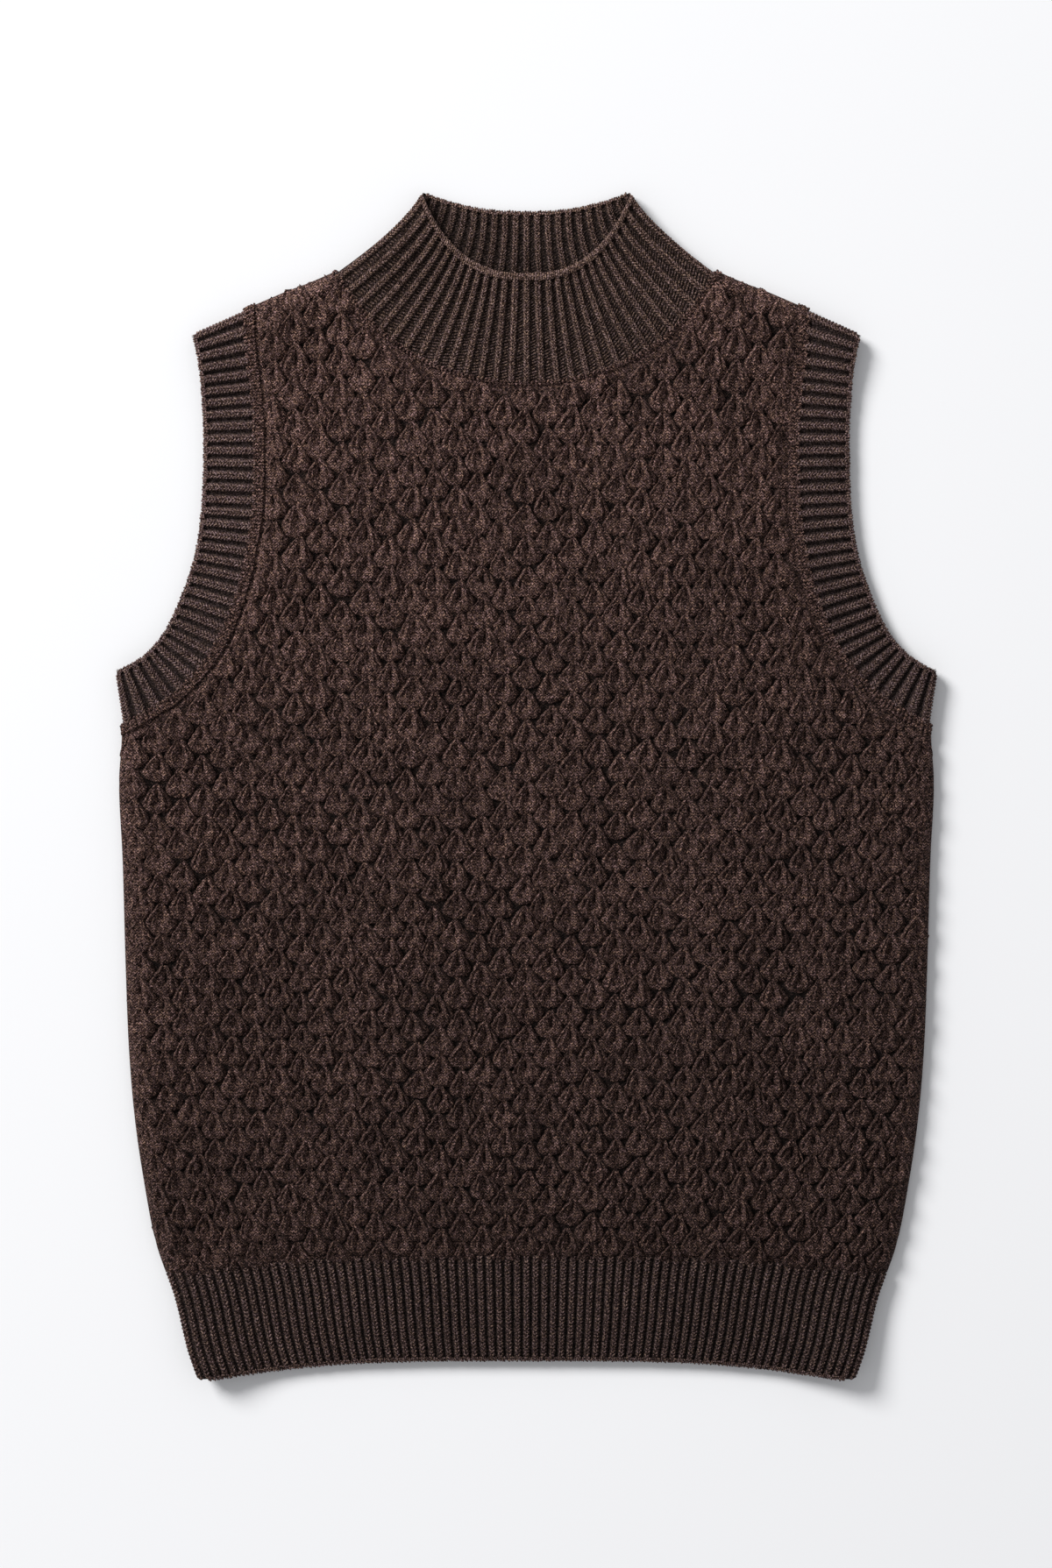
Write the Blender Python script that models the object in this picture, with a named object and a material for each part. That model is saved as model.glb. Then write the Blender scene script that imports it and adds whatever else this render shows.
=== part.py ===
"""Sleeveless sweater knitted in a leaf stitch, with ribbed collar, armholes and hem, laid flat, front up.

Sizes are in millimetres in the tables and functions, and each object is made in metres at the end.
x runs to the wearer's left, y to the neck and z up from the surface that the garment lies on.
Each piece is a wall of cloth. It is drawn in plan, and lay() puts it down: the upper layer lies on
the under layer, and the cloth turns through a half-round at the folds down the sides, over the
shoulders and up the collar. The halves of the garment mirror each other, so tables give one half.
"""

import math
from bisect import bisect_right
from collections import namedtuple

import bmesh
import bpy
from mathutils import Vector
from mathutils.geometry import delaunay_2d_cdt

MM = 0.001

# The cloth and how it lies.
WALL = 2.8  # between the plain faces of the knit
SEAM_GAP = 0.3  # between two pieces that are sewn together
FOLD_REACH = 9.0  # from a fold's crest in to where the cloth lies level
FOLD_CREST = 5.2  # height of the crest of a fold
LAID_TOP = 7.0  # outer face of the upper layer, well inside the folds
FOLD_SWELL = 3.4  # how much higher it stands beside a fold
SWELL_REACH = 26.0  # how far in from the fold that swelling dies away
COLLAR_LIFT = 2.6  # the thicker collar holds its front this much higher
COLLAR_LIFT_REACH = 75.0
NECK_MIDDLE = 320.0  # height of the collar front's middle, where the lift is greatest
CORNER_LIFT = 7.0  # the hem's corners curl up off the surface
CORNER_REACH = 68.0
ON_FOLD = 0.3  # a plan point nearer than this to a crest is on it
FOLD_ROWS = (0.8, 3.0, FOLD_REACH)  # rows of points in from a crest, which make its half-round
CREST_RIBS = 5  # half ribs beside a crest that always have a station
CREST_STEP = 0.22  # share of the half rib at a crest where its half-round gets one more station
SWELL_SHARE = 0.5  # how much of the swelling beside a fold takes the place of a ridge that meets it

# Straight stretches that stand for the curve of a fold.
SIDE_STRETCHES = 80
BAND_STRETCHES = 6
SHOULDER_STRETCHES = 12
COLLAR_STRETCHES = 16

# The knit.
COLLAR_RIBS_FRONT = 29
COLLAR_RIBS_BACK = 21
HEM_RIBS = 77
BAND_RIBS = 34
COLLAR_RIB_RELIEF = 1.2
BAND_RIB_RELIEF = 1.1
HEM_RIB_RELIEF = 0.9
LEAF_RELIEF = 2.4
LEAF_COLUMNS = 17.7  # leaf columns from the middle of the front to its side
FIRST_LEAF_PERIOD = 18.0  # height of a leaf at the hem
PERIOD_GROWTH = 0.075  # each row of leaves upwards is this much taller
HALF_ROWS = 66  # half leaves from the hem to above the shoulder
PLAIN_BORDER = 6.5  # plain knit beside the armhole and collar seams
LEAF_RAMP = 8.0  # the leaves grow to full relief over this width
FOLD_LEAF_SHARE = 0.5  # the leaves beside a fold have this much of the relief
LEAF_CLEAR = 4.0  # between a panel's edge and the leaves' points
ROW_CLEAR = 1.5  # between a seam and the rows of points beside a fold
COARSE_STEP = 40.0  # between the points of a plain face
HEM_STEP = 12.0  # between the points along the hem seam on a panel
SHOULDER_STATIONS = 8
PLAIN_RIBS = 4  # the plain under hem has a station every so many half ribs
CREASE = 8.0  # degrees: a ridge or groove of the knit sharper than this stays crisp
MERGE = 1e-4  # plan points closer than this are one
SETTLE_ROUNDS = 4  # rounds that bring a seam's end onto the side fold

# Down the side fold, from the hem's corner to the underarm.
Side = namedtuple("Side", "height half_width")
SIDE_FOLD = (
    Side(-374.5, 207.5),
    Side(-356.0, 214.4),
    Side(-323.0, 223.0),
    Side(-290.0, 234.3),
    Side(-257.0, 241.0),
    Side(-213.0, 247.6),
    Side(-168.0, 251.5),
    Side(-113.0, 253.7),
    Side(-47.0, 255.6),
    Side(0.0, 257.8),
    Side(36.5, 256.0),
    Side(70.2, 259.8),
)

# The hem band's free edge and its seam, by distance from the middle.
Hem = namedtuple("Hem", "across edge seam")
HEM = (
    Hem(0.0, -363.1, -297.0),
    Hem(60.0, -363.3, -297.4),
    Hem(110.0, -364.9, -298.6),
    Hem(143.0, -367.6, -300.4),
    Hem(176.0, -371.4, -303.0),
    Hem(199.0, -374.0, -305.4),
    Hem(235.0, -374.5, -309.0),
)

# Armhole band, from the shoulder (0) to the underarm (1): its open edge and its seam.
Band = namedtuple("Band", "share open_x open_y seam_x seam_y")
BAND = (
    Band(0.000, 210.3, 285.4, 177.3, 301.0),
    Band(0.085, 206.4, 266.6, 176.1, 272.4),
    Band(0.171, 204.2, 245.2, 172.9, 248.5),
    Band(0.288, 203.1, 216.1, 171.2, 216.1),
    Band(0.437, 204.2, 177.6, 172.1, 176.0),
    Band(0.553, 207.8, 149.2, 176.6, 144.2),
    Band(0.653, 214.7, 125.4, 183.7, 116.6),
    Band(0.776, 226.5, 98.4, 198.6, 84.0),
    Band(0.873, 238.3, 83.3, 219.1, 59.6),
    Band(0.937, 249.5, 75.3, 236.2, 47.6),
    Band(1.000, 259.8, 70.2, 256.0, 36.5),
)

# Over the shoulder, from the collar to the armhole band.
Shoulder = namedtuple("Shoulder", "across height")
SHOULDER = (
    Shoulder(121.3, 324.4),
    Shoulder(136.0, 317.9),
    Shoulder(152.0, 311.8),
    Shoulder(177.3, 301.0),
)

# Collar, from the middle (0) to its side fold (1): its rim and its seam. The power of flare bends
# the ribs outwards towards the seam.
Collar = namedtuple("Collar", "share rim_x rim_y seam_x seam_y flare")
COLLAR_FRONT = (
    Collar(0.000, 0.0, 321.6, 0.0, 253.4, 1.10),
    Collar(0.138, 13.3, 322.3, 19.3, 254.6, 1.10),
    Collar(0.276, 24.2, 325.0, 38.4, 258.4, 1.10),
    Collar(0.414, 34.0, 329.7, 58.0, 265.0, 1.12),
    Collar(0.552, 43.0, 336.6, 76.5, 274.6, 1.15),
    Collar(0.690, 51.0, 345.2, 92.4, 287.0, 1.18),
    Collar(0.828, 58.5, 356.4, 105.8, 302.4, 1.24),
    Collar(1.000, 67.2, 374.4, 121.3, 324.4, 1.30),
)
COLLAR_BACK = (
    Collar(0.000, 0.0, 361.4, 0.0, 293.4, 2.20),
    Collar(0.330, 23.0, 362.6, 41.0, 295.6, 2.20),
    Collar(0.660, 45.0, 366.9, 82.0, 304.6, 1.80),
    Collar(1.000, 67.2, 374.4, 121.3, 324.4, 1.30),
)
COLLAR_ROWS = 4  # rows of points from rim to seam

# Broad soft ridges in the upper layer. Each runs from top to bottom and leans by its shift.
Ridge = namedtuple("Ridge", "x shift top bottom half_width rise")
RIDGES = (
    Ridge(-58.0, -18.0, 240.0, -345.0, 42.0, 2.2),
    Ridge(119.0, 3.0, 100.0, -345.0, 26.0, 2.6),
    Ridge(210.0, -8.0, 85.0, -320.0, 28.0, 1.5),
    Ridge(-221.0, 6.0, 95.0, -290.0, 26.0, 1.7),
    Ridge(-128.0, 14.0, 250.0, 90.0, 40.0, 1.4),
    Ridge(52.0, 10.0, -215.0, -350.0, 24.0, 1.6),
)
RIDGE_FADE = 55.0

# Heathered dark brown wool: sRGB colour and roughness, for each node.
Yarn = namedtuple("Yarn", "colour roughness")
BODY_YARN = Yarn("3A2C2A", 0.95)
HEM_YARN = Yarn("332624", 0.93)
COLLAR_YARN = Yarn("443633", 0.93)
BAND_YARN = Yarn("403230", 0.93)


def smooth(rows, key, column, at):
    """The value of a column at a place along the key column, on a smooth curve through the rows."""
    keys = [getattr(row, key) for row in rows]
    values = [getattr(row, column) for row in rows]
    at = min(max(at, keys[0]), keys[-1])
    low = min(bisect_right(keys, at) - 1, len(keys) - 2)

    def slope(index):
        before = max(index - 1, 0)
        after = min(index + 1, len(keys) - 1)
        return (values[after] - values[before]) / (keys[after] - keys[before])

    span = keys[low + 1] - keys[low]
    t = (at - keys[low]) / span
    rise = values[low + 1] - values[low]
    start = slope(low) * span
    end = slope(low + 1) * span
    return values[low] + t * (start + t * (3 * rise - 2 * start - end + t * (start + end - 2 * rise)))


def ease(value):
    """0 below 0 and 1 above 1, with a smooth step between."""
    value = min(max(value, 0.0), 1.0)
    return value * value * (3 - 2 * value)


def spread(first, last, count):
    return [first + (last - first) * i / count for i in range(count + 1)]


def with_fold_stations(stations):
    """Stations that start and end on a fold's crest, with one more close to each crest."""
    first = stations[0] + (stations[1] - stations[0]) * CREST_STEP
    last = stations[-1] + (stations[-2] - stations[-1]) * CREST_STEP
    return [stations[0], first, *stations[1:-1], last, stations[-1]]


def side_half_width(height):
    return smooth(SIDE_FOLD, "height", "half_width", height)


def hem_seam(across):
    return smooth(HEM, "across", "seam", abs(across))


def hem_edge(across):
    return smooth(HEM, "across", "edge", abs(across))


def band_point(share, out):
    """A plan point of the armhole band: out is 0 at the seam and 1 at the open edge."""
    seam = Vector((smooth(BAND, "share", "seam_x", share), smooth(BAND, "share", "seam_y", share)))
    edge = Vector((smooth(BAND, "share", "open_x", share), smooth(BAND, "share", "open_y", share)))
    return seam.lerp(edge, out)


def band_width():
    return (band_point(0.5, 0.0) - band_point(0.5, 1.0)).length


def collar_point(rows, share, down):
    """A plan point of the collar: share is -1 to 1 from side to side, down is 0 at the rim."""
    part = abs(share)
    rim_x = smooth(rows, "share", "rim_x", part)
    seam_x = smooth(rows, "share", "seam_x", part)
    rim_y = smooth(rows, "share", "rim_y", part)
    seam_y = smooth(rows, "share", "seam_y", part)
    flare = smooth(rows, "share", "flare", part)
    x = rim_x + (seam_x - rim_x) * down**flare
    return Vector((math.copysign(x, share), rim_y + (seam_y - rim_y) * down))


def collar_depth(rows):
    return (collar_point(rows, 0, 1) - collar_point(rows, 0, 0)).length


def hem_corner():
    """Where the side fold, drawn down from the hem seam, meets the hem's free edge."""
    return Vector((SIDE_FOLD[0].half_width, SIDE_FOLD[0].height))


def hem_seam_end():
    """Height at which the hem seam meets the side fold."""
    height = HEM[-1].seam
    for _ in range(SETTLE_ROUNDS):
        height = hem_seam(side_half_width(height))
    return height


def side_fold_line():
    heights = spread(SIDE_FOLD[0].height, SIDE_FOLD[-1].height, SIDE_STRETCHES)
    return [Vector((side_half_width(height), height)) for height in heights]


def shoulder_fold_line():
    """Up the band's fold, along the shoulder and up the side of the collar."""
    line = [band_point(0.0, out) for out in spread(1.0, 0.0, BAND_STRETCHES)]
    for across in spread(SHOULDER[-1].across, SHOULDER[0].across, SHOULDER_STRETCHES)[1:]:
        line.append(Vector((across, smooth(SHOULDER, "across", "height", across))))
    for down in spread(1.0, 0.0, COLLAR_STRETCHES)[1:]:
        line.append(collar_point(COLLAR_FRONT, 1.0, down))
    return line


def mirrored(line):
    return [Vector((-point.x, point.y)) for point in line]


def nearest(point, line):
    """Distance from a plan point to a line, and the nearest point on it with that stretch's direction."""
    best = (math.inf, None, None)
    for start, end in zip(line, line[1:]):
        run = end - start
        share = min(max((point - start).dot(run) / run.length_squared, 0.0), 1.0)
        foot = start + run * share
        away = (point - foot).length
        if away < best[0]:
            best = (away, foot, run)
    return best


HALF_FOLDS = (side_fold_line(), shoulder_fold_line())


def fold_beside(point):
    """Distance to the nearest fold's crest, and the way to it across the cloth."""
    side = math.copysign(1.0, point.x)
    half = Vector((abs(point.x), point.y))
    away, foot, run = min((nearest(half, line) for line in HALF_FOLDS), key=lambda found: found[0])
    if away < ON_FOLD:
        away = 0.0
        outward = Vector((run.y, -run.x)).normalized()
        if outward.dot(half) < 0:
            outward.negate()
    else:
        outward = (foot - half).normalized()
    return away, Vector((outward.x * side, outward.y))


def ridge_rise(point):
    rise = 0.0
    for ridge in RIDGES:
        run = (ridge.top - point.y) / (ridge.top - ridge.bottom)
        across = (point.x - ridge.x - ridge.shift * run) / ridge.half_width
        ends = ease((ridge.top - point.y) / RIDGE_FADE) * ease((point.y - ridge.bottom) / RIDGE_FADE)
        rise += ridge.rise * ends * math.exp(-across * across)
    return rise


def corner_lift(point):
    away = (Vector((abs(point.x), point.y)) - hem_corner()).length
    return CORNER_LIFT * max(1 - away / CORNER_REACH, 0.0) ** 2


def upper_top(point, away):
    """Height of the upper layer's outer face, leaving out its relief."""
    swell = FOLD_SWELL * math.exp(-((max(away - FOLD_REACH, 0.0) / SWELL_REACH) ** 2))
    from_neck = (point - Vector((0.0, NECK_MIDDLE))).length / COLLAR_LIFT_REACH
    lift = COLLAR_LIFT * math.exp(-from_neck * from_neck)
    return LAID_TOP + swell + max(lift + ridge_rise(point) - swell * SWELL_SHARE, 0.0)


def lay(point, upper, relief=0.0, sewn=True):
    """The outer and inner face of the cloth where a plan point comes to lie.

    A piece that is sewn to the other layer along the fold stops half the seam gap short of it.
    """
    away, outward = fold_beside(point)
    sign = 1 if upper else -1
    level = upper_top(point, away) if upper else 0.0
    crest = FOLD_CREST + (sign * SEAM_GAP / 2 if sewn else 0.0)
    turn = math.acos(1 - min(away / FOLD_REACH, 1.0))
    height = crest + (level - crest) * math.sin(turn) + corner_lift(point)
    tilt = abs(level - crest) * math.cos(turn)
    normal = Vector((outward.x * tilt, outward.y * tilt, sign * FOLD_REACH * math.sin(turn))).normalized()
    outer = Vector((point.x, point.y, height))
    return outer + normal * relief, outer - normal * WALL


def rib_back(station):
    """A rib's relief at each half rib: 0 in the groove and 1 on the rib's back."""
    return station % 2


def rib_stations(shares, keep=1):
    """Each half rib's number and share along a band that starts and ends on a crest.

    The stations beside the crests stay, and of the others only one in every so many.
    """
    last = len(shares) - 1
    numbered = []
    for i, share in enumerate(shares):
        if min(i, last - i) < CREST_RIBS or i % keep == 0:
            numbered.append((i, share))
    crests = with_fold_stations([share for _, share in numbered])
    return [(0, crests[0]), (0, crests[1]), *numbered[1:-1], (0, crests[-2]), (0, crests[-1])]


def shell(name, outer, inner, closed):
    """A wall from two grids of points, station by station along it and row by row across it."""
    mesh = bmesh.new()
    faces = [[[mesh.verts.new(point * MM) for point in row] for row in grid] for grid in (outer, inner)]
    stations = len(outer)
    rows = len(outer[0])
    for i in range(stations if closed else stations - 1):
        after = (i + 1) % stations
        for grid in faces:
            for j in range(rows - 1):
                mesh.faces.new((grid[i][j], grid[after][j], grid[after][j + 1], grid[i][j + 1]))
        for j in (0, rows - 1):
            mesh.faces.new((faces[0][i][j], faces[0][after][j], faces[1][after][j], faces[1][i][j]))
    if not closed:
        for i in (0, stations - 1):
            for j in range(rows - 1):
                mesh.faces.new(
                    (faces[0][i][j], faces[0][i][j + 1], faces[1][i][j + 1], faces[1][i][j])
                )
    return finish(name, mesh)


def finish(name, mesh):
    bmesh.ops.triangulate(mesh, faces=mesh.faces[:], quad_method="SHORT_EDGE")
    bmesh.ops.recalc_face_normals(mesh, faces=mesh.faces[:])
    data = bpy.data.meshes.new(name)
    mesh.to_mesh(data)
    mesh.free()
    data.shade_smooth()
    data.set_sharp_from_angle(angle=math.radians(CREASE))
    piece = bpy.data.objects.new(name, data)
    bpy.context.scene.collection.objects.link(piece)
    return piece


def inside(point, outline):
    """Whether a plan point is inside a closed outline."""
    crossed = False
    for a, b in zip(outline, outline[1:] + outline[:1]):
        if (a.y > point.y) != (b.y > point.y):
            if point.x < a.x + (point.y - a.y) * (b.x - a.x) / (b.y - a.y):
                crossed = not crossed
    return crossed


def leaf_row(half_row):
    """Height of a half row of leaves above the hem seam's middle."""
    row = half_row / 2
    return HEM[0].seam + FIRST_LEAF_PERIOD * row + PERIOD_GROWTH * row * row / 2


def leaf_pitch(height):
    """Distance between leaf columns: the rib draws them together towards the hem."""
    return side_half_width(min(height, 0.0)) / LEAF_COLUMNS


def half_outline(collar_rows, collar_ribs):
    """A panel's outline from the middle of the hem round to the middle of the neck.

    It comes as four stretches: hem seam, side fold, armhole seam with the shoulder fold, neck seam.
    """
    inset = SEAM_GAP / 2
    end = hem_seam_end() + inset
    half = side_half_width(end)
    count = round((half - FOLD_REACH) / HEM_STEP)
    across = spread(0.0, half - FOLD_REACH, count) + [half - row for row in reversed(FOLD_ROWS[:-1])]
    hem = [Vector((x, hem_seam(x) + inset)) for x in across]
    rows = [leaf_row(k) for k in range(HALF_ROWS)]
    heights = [end] + [row for row in rows if end + LEAF_CLEAR < row < BAND[-1].seam_y - LEAF_CLEAR]
    side = [Vector((side_half_width(height), height)) for height in heights]
    shares = with_fold_stations(spread(1.0, 0.0, 2 * BAND_RIBS))
    armhole = [band_point(share, -inset / band_width()) for share in shares]
    armhole[0] = Vector((side_half_width(armhole[0].y), armhole[0].y))
    armhole[-1] = Vector((armhole[-1].x, smooth(SHOULDER, "across", "height", armhole[-1].x)))
    shoulder = [
        Vector((x, smooth(SHOULDER, "across", "height", x)))
        for x in spread(armhole[-1].x, SHOULDER[0].across + inset, SHOULDER_STATIONS)[1:]
    ]
    down = 1 + inset / collar_depth(collar_rows)
    stations = with_fold_stations(spread(1.0, -1.0, 2 * collar_ribs))[1:]
    neck = [collar_point(collar_rows, share, down) for share in stations if share >= 0]
    return hem, side, armhole, shoulder, neck


def beside_folds(lines, seams):
    """Rows of points inside the folds of both halves, with their share of the leaves' relief."""
    rows = []
    for line in lines:
        for index, point in enumerate(line[1:-1], 1):
            inward = -fold_beside(point)[1]
            for number, row in enumerate(FOLD_ROWS):
                place = point + inward * row
                if min(nearest(place, seam)[0] for seam in seams) > ROW_CLEAR:
                    raised = (index + number) % 2 * FOLD_LEAF_SHARE
                    rows += [(place, raised), (Vector((-place.x, place.y)), raised)]
    return rows


def leaf_lattice(outline, seams, first):
    """Raised leaf middles and the low joints between them, with the grooves that join the joints.

    Each point comes with its share of the leaves' relief, and the first of them is number first.
    """
    points = []
    numbers = {}
    for k in range(1, HALF_ROWS):
        height = leaf_row(k)
        for column in range(-int(LEAF_COLUMNS), int(LEAF_COLUMNS) + 1):
            point = Vector((column * leaf_pitch(height), height))
            if not inside(point, outline) or fold_beside(point)[0] < FOLD_REACH + LEAF_CLEAR:
                continue
            clear = min(nearest(point, seam)[0] for seam in seams)
            if clear > LEAF_CLEAR:
                numbers[column, k] = first + len(points)
                leaf = (column + k + 1) % 2
                points.append((point, leaf * ease((clear - PLAIN_BORDER) / LEAF_RAMP)))
    grooves = []
    for column, k in numbers:
        for step in (-1, 1):
            if (column + k) % 2 and (column + 1, k + step) in numbers:
                grooves.append((numbers[column, k], numbers[column + 1, k + step]))
    return points, grooves


def plain_lattice(outline, seams):
    """A coarse spread of plan points for a plain face."""
    count = int(SIDE_FOLD[-1].half_width / COARSE_STEP)
    points = []
    for row in range(-2 * count, 2 * count):
        for column in range(-count, count + 1):
            point = Vector(((column + row % 2 / 2) * COARSE_STEP, row * COARSE_STEP))
            if inside(point, outline) and fold_beside(point)[0] > COARSE_STEP / 2:
                if min(nearest(point, seam)[0] for seam in seams) > COARSE_STEP / 3:
                    points.append((point, 0.0))
    return points


def tessellate(outline, points, grooves):
    """Triangles over an outline through the points given inside it, as numbers into both lists."""
    plan = outline + [point for point, _ in points]
    edges = [(i, (i + 1) % len(outline)) for i in range(len(outline))] + grooves
    _, _, faces, origins, _, _ = delaunay_2d_cdt(plan, edges, [], 1, MERGE)
    return [[origins[corner][0] for corner in face] for face in faces]


def panel(name, upper, collar_rows, collar_ribs):
    """Front or back: a wall over the whole outline, with leaves on its outer face if it is the upper."""
    hem, side, armhole, shoulder, neck = half_outline(collar_rows, collar_ribs)
    half = hem + side + armhole + shoulder + neck
    outline = half + mirrored(reversed(half[1:-1]))
    seams = [hem, armhole, neck, mirrored(hem), mirrored(armhole), mirrored(neck)]
    rows = beside_folds((side + armhole[:1], armhole[-1:] + shoulder), seams)
    plain = plain_lattice(outline, seams)
    knit, grooves = leaf_lattice(outline, seams, len(outline) + len(rows)) if upper else (plain, [])
    relief = LEAF_RELIEF if upper else 0.0
    edge = [(point, 0.0) for point in outline]
    mesh = bmesh.new()
    outer = [
        mesh.verts.new(lay(point, upper, relief * share)[0] * MM) for point, share in edge + rows + knit
    ]
    inner = [mesh.verts.new(lay(point, upper)[1] * MM) for point, _ in edge + rows + plain]
    for verts, points, creases in ((outer, rows + knit, grooves), (inner, rows + plain, [])):
        for face in tessellate(outline, points, creases):
            mesh.faces.new([verts[number] for number in face])
    for i in range(len(outline)):
        after = (i + 1) % len(outline)
        mesh.faces.new((outer[i], outer[after], inner[after], inner[i]))
    return finish(name, mesh)


def hem_rib(name, upper):
    """Half of the hem band: ribs run down it and follow its drawn-in sides."""
    outer = []
    inner = []
    top = hem_seam_end() - SEAM_GAP / 2
    foot = SIDE_FOLD[0].height
    for station, share in rib_stations(spread(-1.0, 1.0, 2 * HEM_RIBS), 1 if upper else PLAIN_RIBS):
        wave = HEM_RIB_RELIEF * rib_back(station) if upper else 0.0
        walls = []
        for down in spread(0.0, 1.0, 2):
            half = side_half_width(top + (foot - top) * down)
            high = hem_seam(share * half) - SEAM_GAP / 2
            height = high + (hem_edge(share * half) - high) * down
            walls.append(lay(Vector((share * half, height)), upper, wave))
        outer.append([wall[0] for wall in walls])
        inner.append([wall[1] for wall in walls])
    return shell(name, outer, inner, closed=False)


def collar(name):
    """One ribbed tube. Its ribs show inside and out, apart from the face that it lies on."""
    outer = []
    inner = []
    layers = (
        (COLLAR_FRONT, True, spread(-1.0, 1.0, 2 * COLLAR_RIBS_FRONT)),
        (COLLAR_BACK, False, spread(1.0, -1.0, 2 * COLLAR_RIBS_BACK)),
    )
    for rows, upper, shares in layers:
        seam = 1 - SEAM_GAP / 2 / collar_depth(rows)
        for station, share in rib_stations(shares)[:-1]:
            wave = COLLAR_RIB_RELIEF * (rib_back(station) - 0.5)
            walls = []
            for down in spread(0.0, seam, COLLAR_ROWS - 1):
                face, back = lay(collar_point(rows, share, down), upper, sewn=False)
                way = (face - back).normalized()
                walls.append((face + way * (wave if upper else 0.0), back + way * wave))
            outer.append([wall[0] for wall in walls])
            inner.append([wall[1] for wall in walls])
    return shell(name, outer, inner, closed=True)


def armhole_rib(name, side):
    """The ribbed band round one armhole. side is 1 at the wearer's left and -1 at the right."""
    outer = []
    inner = []
    ends = ((True, 0.0, 1.0), (False, 1.0, 0.0))
    for upper, first, last in ends:
        for station, share in rib_stations(spread(first, last, 2 * BAND_RIBS))[:-1]:
            wave = BAND_RIB_RELIEF * rib_back(station) if upper else 0.0
            walls = []
            for out in (SEAM_GAP / 2 / band_width(), 0.5, 1.0):
                point = band_point(share, out)
                walls.append(lay(Vector((point.x * side, point.y)), upper, wave, sewn=False))
            outer.append([wall[0] for wall in walls])
            inner.append([wall[1] for wall in walls])
    return shell(name, outer, inner, closed=True)


def linear(colour):
    """An sRGB hex colour as the linear values that a shader takes."""
    parts = [int(colour[i : i + 2], 16) / 255 for i in (0, 2, 4)]
    return [part / 12.92 if part <= 0.04045 else ((part + 0.055) / 1.055) ** 2.4 for part in parts] + [1.0]


def dye(piece, yarn):
    material = bpy.data.materials.new(f"wool_{piece.name}")
    material.use_nodes = True
    shader = material.node_tree.nodes["Principled BSDF"]
    shader.inputs["Base Color"].default_value = linear(yarn.colour)
    shader.inputs["Roughness"].default_value = yarn.roughness
    shader.inputs["Metallic"].default_value = 0.0
    piece.data.materials.append(material)


def main():
    for old in list(bpy.data.objects):
        bpy.data.objects.remove(old)
    vest = bpy.data.objects.new("sweater_vest", None)
    bpy.context.scene.collection.objects.link(vest)
    pieces = (
        (panel("front_panel", True, COLLAR_FRONT, COLLAR_RIBS_FRONT), BODY_YARN),
        (panel("back_panel", False, COLLAR_BACK, COLLAR_RIBS_BACK), BODY_YARN),
        (hem_rib("hem_rib_front", True), HEM_YARN),
        (hem_rib("hem_rib_back", False), HEM_YARN),
        (collar("collar_rib"), COLLAR_YARN),
        (armhole_rib("armhole_rib_left", 1), BAND_YARN),
        (armhole_rib("armhole_rib_right", -1), BAND_YARN),
    )
    for piece, yarn in pieces:
        dye(piece, yarn)
        piece.parent = vest


main()
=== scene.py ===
"""Sleeveless sweater knitted in a leaf stitch, with ribbed collar, armholes and hem, laid flat, front up.

Sizes are in millimetres, and meshes are made in metres at the end. x runs to the wearer's left, y to
the neck and z up from the floor. Everything is knitted flat first: Geometry Nodes set out the leaves
and the stitches in columns and rows, and a chart says where each flat point of a piece lies in plan.
lay() then puts plan points down on the garment, round the folds at its sides and shoulders.
"""

import math
import random
from collections import namedtuple

import bmesh
import bpy
import numpy as np
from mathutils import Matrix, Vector
from mathutils.geometry import delaunay_2d_cdt


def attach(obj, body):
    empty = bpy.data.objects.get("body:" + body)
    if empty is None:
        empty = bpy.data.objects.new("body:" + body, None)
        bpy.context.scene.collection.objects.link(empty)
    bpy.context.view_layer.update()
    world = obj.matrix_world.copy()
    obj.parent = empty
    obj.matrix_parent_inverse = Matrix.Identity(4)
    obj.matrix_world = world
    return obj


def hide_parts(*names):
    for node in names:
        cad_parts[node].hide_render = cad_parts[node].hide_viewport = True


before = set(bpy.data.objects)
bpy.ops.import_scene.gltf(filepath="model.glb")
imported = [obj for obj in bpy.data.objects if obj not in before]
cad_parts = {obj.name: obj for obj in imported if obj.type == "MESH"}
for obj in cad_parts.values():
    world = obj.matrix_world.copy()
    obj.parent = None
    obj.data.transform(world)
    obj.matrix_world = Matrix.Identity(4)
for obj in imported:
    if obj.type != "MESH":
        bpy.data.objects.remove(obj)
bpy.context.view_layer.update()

MM = 0.001

# The cloth and how it lies.
WALL = 2.8
SEAM_GAP = 0.3
FOLD_REACH = 9.0  # from a fold's crest in to where the cloth lies level
FOLD_CREST = 5.2  # height of the crest
ON_FOLD = 0.02  # a point as near to the crest as this is on it
LAID_TOP = 7.0  # plain face of the upper layer, well inside the folds
FOLD_SWELL = 3.4  # it stands this much higher beside a fold, and less further in
SWELL_REACH = 26.0
SWELL_SHARE = 0.5  # of the swell that counts against the ridges and the lift at the neck
COLLAR_LIFT = 2.6  # the collar holds the front up round the neck's middle
COLLAR_LIFT_REACH = 75.0
NECK_MIDDLE = 320.0
CORNER_LIFT = 7.0  # the hem's corners curl up
CORNER_REACH = 68.0

# The knit.
COLLAR_RIBS_FRONT = 29
COLLAR_RIBS_BACK = 21
HEM_RIBS = 77
BAND_RIBS = 34
LEAF_COLUMNS = 17.7  # leaf columns from the middle of the front to its side
FIRST_LEAF_PERIOD = 18.0  # height of a leaf at the hem
PERIOD_GROWTH = 0.075  # each row of leaves upwards is this much taller
LEAF_ROWS = 34
PLAIN_BORDER = 6.5  # plain knit beside the armhole's seam, and beside the neck's
NECK_BORDER = 0.5

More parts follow.
